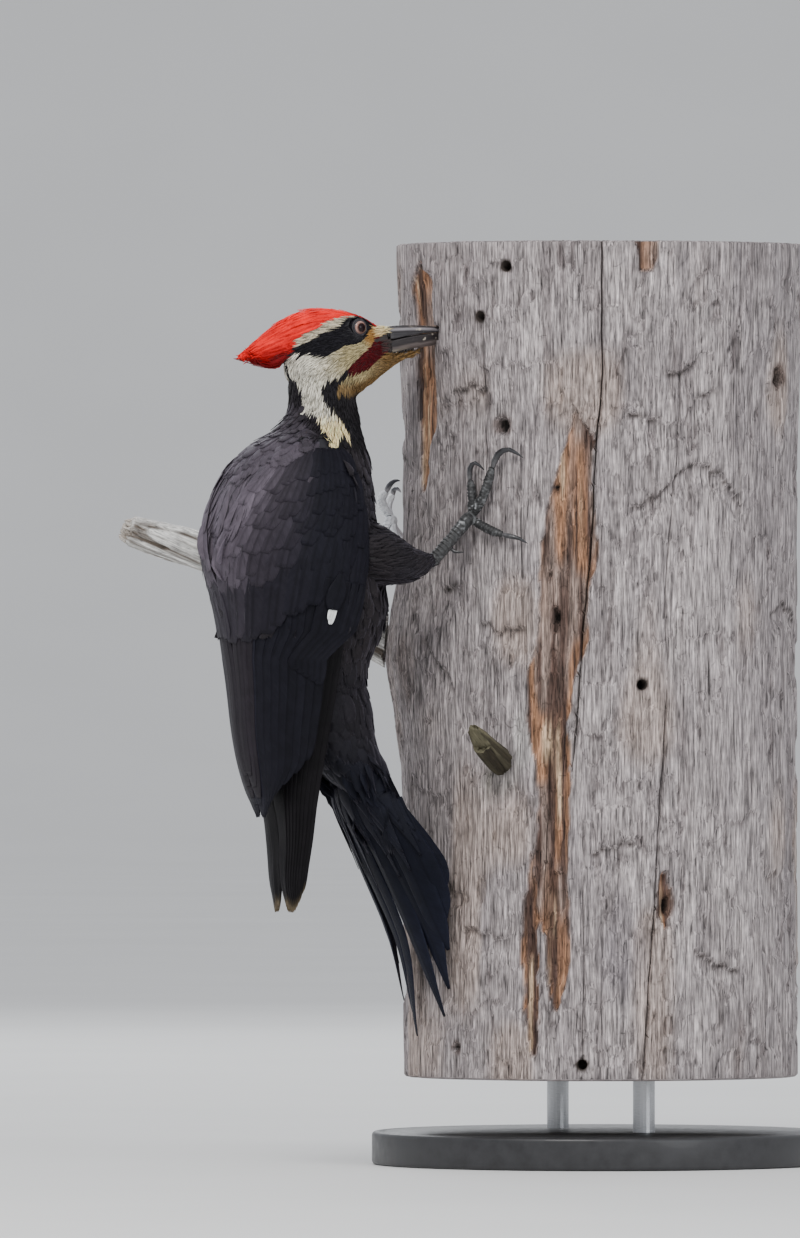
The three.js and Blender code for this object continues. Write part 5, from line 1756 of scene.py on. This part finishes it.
def bore_holes(mesh, middle):
    """Round beetle holes through the surface."""
    drills = bmesh.new()
    for bearing, height in HOLES:
        angle = math.radians(bearing)
        out = Vector((-math.cos(angle), -math.sin(angle), 0))
        made = bmesh.ops.create_cone(
            drills, cap_ends=True, segments=20, radius1=2.5 * MM, radius2=3.1 * MM, depth=24 * MM)
        turn = Vector((0, 0, 1)).rotation_difference(out).to_matrix()
        mouth = Vector((middle.x, middle.y, height * MM)) + out * ((LOG_RADIUS - 1) * MM)
        bmesh.ops.rotate(drills, verts=made["verts"], cent=(0, 0, 0), matrix=turn)
        bmesh.ops.translate(drills, verts=made["verts"], vec=mouth)
    tool_mesh = mesh_of(drills, "drill")
    give_finishes(tool_mesh, np.full(len(tool_mesh.polygons), 2))
    # Painted shade: the drill's faces become the hole walls, nearly black
    set_tint(tool_mesh, np.full((len(tool_mesh.vertices), 3), 0.02))
    tool = linked_object("drill", tool_mesh)
    cut = with_modifiers(mesh, ("BOOLEAN", {"object": tool, "operation": "DIFFERENCE", "solver": "EXACT"}))
    bpy.data.objects.remove(tool)
    points = mesh_points(cut)
    bearing = np.degrees(np.arctan2(middle.y - points[:, 1], middle.x - points[:, 0]))
    rgba = np.empty(len(points) * 4, np.float32)
    cut.attributes["tint"].data.foreach_get("color", rgba)
    colours = rgba.reshape(-1, 4)[:, :3]
    for hole_bearing, height in HOLES:
        gap = np.hypot(arc_gap(bearing, hole_bearing, LOG_RADIUS), points[:, 2] / MM - height)
        colours[gap < 3.5] = HOLE_SHADE
    set_tint(cut, colours)
    return cut


def grain_place(tree, along, across_scale, along_scale):
    scales = (across_scale, across_scale, along_scale)
    return node(tree, "ShaderNodeMapping", {"Vector": along, "Scale": scales}).outputs["Vector"]


def wood_material(name, grain, contrast, relief, roughness, tilt=(0, 0, 0)):
    """Weathered wood: long fibres along the grain, fine dark checks and dusty mottling over the tint."""
    material, tree, principled = new_material(name, roughness=roughness, specular_ior_level=0.25)
    here = node(tree, "ShaderNodeTexCoord").outputs["Object"]
    along = node(tree, "ShaderNodeMapping", {"Vector": here, "Rotation": tilt}).outputs["Vector"]
    long = grain_place(tree, along, grain, grain * 0.045)
    finer = grain_place(tree, along, grain * 3, grain * 0.2)
    fibre = noise_node(tree, long, 1.0, 5, 0.62)
    check = noise_node(tree, finer, 1.0, 3, 0.5)
    dust = noise_node(tree, along, 240, 4, 0.6)
    split = noise_node(tree, grain_place(tree, along, grain * 0.8, grain * 0.012), 1.0, 2, 0.4)
    flake = noise_node(tree, grain_place(tree, along, grain * 0.13, grain * 0.085), 1.0, 3, 0.5)
    ledge = remap(tree, flake, 0.55, 0.585, 0.0, 1.0)
    strand = noise_node(tree, grain_place(tree, along, grain * 1.5, grain * 0.12), 1.0, 3, 0.6)
    # Painted shadow: sparse dark flecks stand in for the shadows under small ledges
    shadow_fleck = noise_node(tree, grain_place(tree, along, grain * 0.22, grain * 0.6), 1.0, 4, 0.6)
    factor = multiply(tree, remap(tree, fibre, 0.3, 0.7, 1 - contrast, 1 + contrast),
                      remap(tree, strand, 0.32, 0.68, 1 - contrast, 1 + contrast))
    factor = multiply(tree, factor, remap(tree, check, 0.3, 0.7, 1 - contrast * 0.8, 1 + contrast * 0.8))
    factor = multiply(tree, factor, remap(tree, dust, 0.3, 0.7, 0.86, 1.14))
    for dark in (remap(tree, check, 0.3, 0.38, 0.45, 1.0), remap(tree, split, 0.27, 0.31, 0.35, 1.0),
                 remap(tree, shadow_fleck, 0.69, 0.74, 1.0, 0.45), remap(tree, strand, 0.3, 0.34, 0.6, 1.0)):
        factor = multiply(tree, factor, dark)
    set_colour(tree, principled, tint_of(tree), factor)
    set_rough(tree, principled, dust, 0.2, 0.8, roughness - 0.08, min(1.0, roughness + 0.1))
    height = fibre
    for field, share in ((check, 0.6), (dust, 0.35), (strand, 0.5)):
        height = math_node(tree, "ADD", height, multiply(tree, field, share))
    height = math_node(tree, "SUBTRACT", height, multiply(tree, ledge, 0.6))
    bump(tree, principled, height, 0.9, relief)
    return material


def end_grain_material():
    """Sawn end of the trunk: growth rings, saw lines and radial checks over the tint."""
    material, tree, principled = new_material("sawn_end", roughness=0.82, specular_ior_level=0.25)
    here = place_of(tree, (1, 1, 0))
    warp = noise_node(tree, here, 26, 3)
    apart = length_of(tree, here)
    ringed = math_node(tree, "ADD", multiply(tree, apart, 2 * math.pi / (2.6 * MM)), multiply(tree, warp, 16))
    rings = math_node(tree, "SINE", ringed)
    saw = noise_node(tree, place_of(tree, (1400, 40, 1)), 1.0, 2)
    bands = remap(tree, rings, -1.0, 1.0, 0.78, 1.12)
    factor = multiply(tree, bands, remap(tree, saw, 0.3, 0.7, 0.88, 1.1))
    set_colour(tree, principled, tint_of(tree), factor)
    bump(tree, principled, math_node(tree, "ADD", rings, saw), 0.6, 0.12 * MM)
    return material


WEATHERED = wood_material("weathered_trunk", 620, 0.54, 1.1 * MM, 0.86)
END_GRAIN = end_grain_material()
# Painted shade: the walls of the beetle holes are nearly black
HOLE_WALL_SHADE = tinted_material("hole_wall_shade", (700, 700, 700), 3, 0.3, 0.2 * MM, 0.9, base=(0.03, 0.022, 0.018))
make_log()


def make_stub(node_name, piece_name, voxel, pale, dark, end_tint, broken_end, rough, bite=0):
    """A dead limb or knot: grain along its own axis, checks, and an end broken to a ledge by the bite."""
    mesh = remeshed([node_name], voxel)
    points = mesh_points(mesh)
    normals = mesh_normals(mesh)
    centre = points.mean(axis=0)
    axis = np.linalg.svd(points[::7] - centre, full_matrices=False)[2][0]
    if (axis * (centre * (1, 1, 0))).sum() < 0:
        axis = -axis
    along = (points - centre) @ axis
    across = points - centre - along[:, None] * axis
    place = across / (2.2 * MM) + axis * (along / (34 * MM))[:, None]
    coarse = across / (5.5 * MM) + axis * (along / (60 * MM))[:, None]
    tip = ramp(along, along.max() - 7 * MM, along.max() - 1 * MM)
    splinter = noise(across / (1.5 * MM), 72) + 0.5 * noise(across / (0.8 * MM), 73)
    rise = rough * (0.24 * noise(place, 70) + 0.4 * noise(coarse, 71) - 0.35)
    groove = ramp(noise(coarse * 1.4, 74), 0.36, 0.56)
    rise = rise - 0.5 * rough * groove
    worn_back = tip * broken_end * np.maximum(0, splinter + 0.3) * MM
    moved = points + normals * (rise * MM)[:, None] - axis * worn_back[:, None]
    outward = unit(centre * (1, 1, 0) - axis * (centre * (1, 1, 0) @ axis))
    shelf = along.max() - bite * MM + 0.8 * MM * splinter
    broken = ramp(across @ outward, 0.6 * MM, 1.6 * MM) * np.maximum(0, along - shelf) * (bite > 0)
    moved = moved - axis * broken[:, None]
    set_points(mesh, moved)
    grain = 0.5 + 0.5 * noise(place * 1.6, 75)
    checks_and_shade = 0.75 * groove + 0.6 * ramp(grain, 0.55, 0.9) + 0.4 * ramp(noise(coarse, 71), 0, -0.6)
    # Painted shade: the limb's and knot's undersides are darkened where their normals face down
    checks_and_shade += 0.55 * ramp(normals[:, 2], 0.25, -0.7) * ramp(noise(place * (1, 1, 2.2), 78), -0.5, 0.3)
    tint = blend_colour(pale, dark, np.clip(checks_and_shade, 0, 1))
    tint = blend_colour(tint, end_tint, np.clip(0.7 * tip + ramp(broken, 0.2 * MM, 1.0 * MM), 0, 0.9))
    if bite:
        tint = blend_colour(tint, dark, 0.7 * ramp(along, along.max() - 12 * MM, along.max() - 32 * MM))
    set_tint(mesh, tint)
    tilt = Vector(axis).rotation_difference(Vector((0, 0, 1))).to_euler()
    material = wood_material(f"{piece_name}_wood", 900, 0.14 + 0.16 * (rough - 1), 0.4 * MM, 0.8, tuple(tilt))
    return add_object(piece_name, mesh, material, [node_name])


make_stub("perch_limb", "broken_limb", 0.55 * MM, (0.80, 0.79, 0.76), (0.13, 0.105, 0.085),
          (0.45, 0.39, 0.33), 4.6, 2.1)
make_stub("perch_knot_stub", "knot_stub", 0.5 * MM, (0.125, 0.112, 0.070), (0.032, 0.026, 0.017),
          (0.165, 0.150, 0.095), 3.4, 1.5, 16)


# ---------------------------------------------------------------- display stand
PAINT_BLACK = (0.022, 0.022, 0.024)
STEEL_GREY = (0.52, 0.53, 0.55)


def turned_board(low, high):
    """A round board with an eased rim and a shallow bead, from one cone."""
    board = bmesh.new()
    radius = (high.x - low.x) / 2
    bmesh.ops.create_cone(
        board, cap_ends=True, segments=160, radius1=radius, radius2=radius, depth=high.z - low.z)
    bmesh.ops.translate(board, verts=board.verts[:], vec=(low + high) / 2)
    top = [face for face in board.faces if face.normal.z > 0.9]
    bmesh.ops.inset_region(board, faces=top, thickness=5 * MM, depth=0)
    bmesh.ops.inset_region(board, faces=top, thickness=1.2 * MM, depth=-0.8 * MM)
    bmesh.ops.inset_region(board, faces=top, thickness=1.2 * MM, depth=0.8 * MM)
    rim = [edge for edge in board.edges if edge.is_manifold and edge.calc_face_angle() > 1.2]
    bmesh.ops.bevel(board, geom=rim, offset=2.2 * MM, offset_type="OFFSET", segments=4, profile=0.5,
                    affect="EDGES", material=-1, clamp_overlap=True)
    return mesh_of(board, "board")


def painted_material():
    """Satin black paint on a turned board: faint turning lines and small dust marks."""
    material, tree, principled = new_material("satin_black_paint", roughness=0.42, coat_weight=0.1)
    here = place_of(tree, (1, 1, 1))
    apart = length_of(tree, place_of(tree, (1, 1, 0)))
    turning = math_node(tree, "SINE", multiply(tree, apart, 2 * math.pi / (1.1 * MM)))
    dust = noise_node(tree, here, 130, 5, 0.6)
    set_colour(tree, principled, plain(tree, PAINT_BLACK), remap(tree, dust, 0.3, 0.8, 0.8, 1.7))
    set_rough(tree, principled, dust, 0.3, 0.7, 0.36, 0.52)
    bump(tree, principled, math_node(tree, "ADD", multiply(tree, turning, 0.5), dust), 0.3, 0.05 * MM)
    return material


def steel_material():
    material, tree, principled = new_material("brushed_steel", metallic=1.0, roughness=0.32)
    brushed = noise_node(tree, place_of(tree, (260, 260, 5200)), 1.0, 3)
    set_colour(tree, principled, plain(tree, STEEL_GREY), remap(tree, brushed, 0.3, 0.7, 0.86, 1.1))
    set_rough(tree, principled, brushed, 0.3, 0.7, 0.26, 0.42)
    bump(tree, principled, brushed, 0.3, 0.03 * MM)
    return material


PAINT = painted_material()
STEEL = steel_material()
add_object("display_board", turned_board(*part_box("stand_base")), PAINT, ["stand_base"])
for rod_side in SIDES:
    rod = frame["nodes"][f"stand_rod_{rod_side}"]
    rod.data.materials.clear()
    rod.data.materials.append(STEEL)


# ---------------------------------------------------------------- studio
def make_stage():
    """A pale round floor that sweeps up into a wall well outside the camera's path."""
    bend = [(11 + 3 * math.sin(a), 3 - 3 * math.cos(a)) for a in np.linspace(0.05, math.pi * 0.42, 16)]
    profile = [(0, 0), (11, 0)] + bend
    bowl = bmesh.new()
    corners = [bowl.verts.new((reach, 0, rise)) for reach, rise in profile]
    edges = [bowl.edges.new(pair) for pair in zip(corners, corners[1:])]
    bmesh.ops.spin(bowl, geom=corners + edges, cent=(0, 0, 0), axis=(0, 0, 1),
                   angle=2 * math.pi, steps=96, use_merge=True)
    bmesh.ops.remove_doubles(bowl, verts=bowl.verts[:], dist=1e-5)
    bmesh.ops.recalc_face_normals(bowl, faces=bowl.faces[:])
    mesh = mesh_of(bowl, "studio_floor")
    floor = linked_object("studio_floor", mesh)
    smooth_shade(mesh)
    material, tree, principled = new_material("pale_floor", roughness=0.9, specular_ior_level=0.1)
    cloud = noise_node(tree, place_of(tree, (1, 1, 1)), 3, 2)
    set_colour(tree, principled, plain(tree, (0.80, 0.80, 0.79)), remap(tree, cloud, 0.3, 0.7, 0.98, 1.02))
    mesh.materials.append(material)


def light(name, place, aim, size, watts, colour):
    """A round soft light that faces its aim."""
    data = bpy.data.lights.new(name, "AREA")
    data.shape = "DISK"
    data.size = size
    data.energy = watts
    data.color = colour
    lamp = linked_object(name, data)
    lamp.location = place
    lamp.rotation_euler = (Vector(aim) - Vector(place)).to_track_quat("-Z", "Y").to_euler()


# Camera: bearing in degrees, distance, how far right of the axis and how high it aims, and its lens
CAMERA_BEARING = -30
CAMERA_DISTANCE = 9
AIM_RIGHT = -0.1096
AIM_HEIGHT = 0.2975
LENS = 479.3


def make_camera():
    """A long lens, level with the middle of the part, to the bird's right and a little behind it."""
    turn = math.radians(CAMERA_BEARING)
    back = Vector((math.sin(turn), -math.cos(turn), 0))
    right = Vector((math.cos(turn), math.sin(turn), 0))
    aim = right * AIM_RIGHT + Vector((0, 0, AIM_HEIGHT))
    data = bpy.data.cameras.new("camera")
    data.sensor_width = 36
    data.lens = LENS
    data.clip_end = 100
    camera = linked_object("camera", data)
    camera.location = aim + back * CAMERA_DISTANCE
    camera.rotation_euler = (-back).to_track_quat("-Z", "Y").to_euler()
    bpy.context.scene.camera = camera


make_stage()
make_camera()
light("key", (-1.9, -1.6, 2.6), (-0.15, 0, 0.3), 1.3, 62, (1.0, 0.985, 0.96))
light("front", (0.6, -3.6, 1.2), (-0.1, 0, 0.28), 2.0, 34, (0.95, 0.975, 1.0))
light("far", (0.9, 2.6, 1.9), (-0.1, 0, 0.3), 1.8, 30, (0.95, 0.98, 1.0))
world = bpy.data.worlds.new("world")
bpy.context.scene.world = world
world.use_nodes = True
background = world.node_tree.nodes["Background"]
background.inputs["Color"].default_value = (0.93, 0.95, 1.0, 1)
background.inputs["Strength"].default_value = 0.8
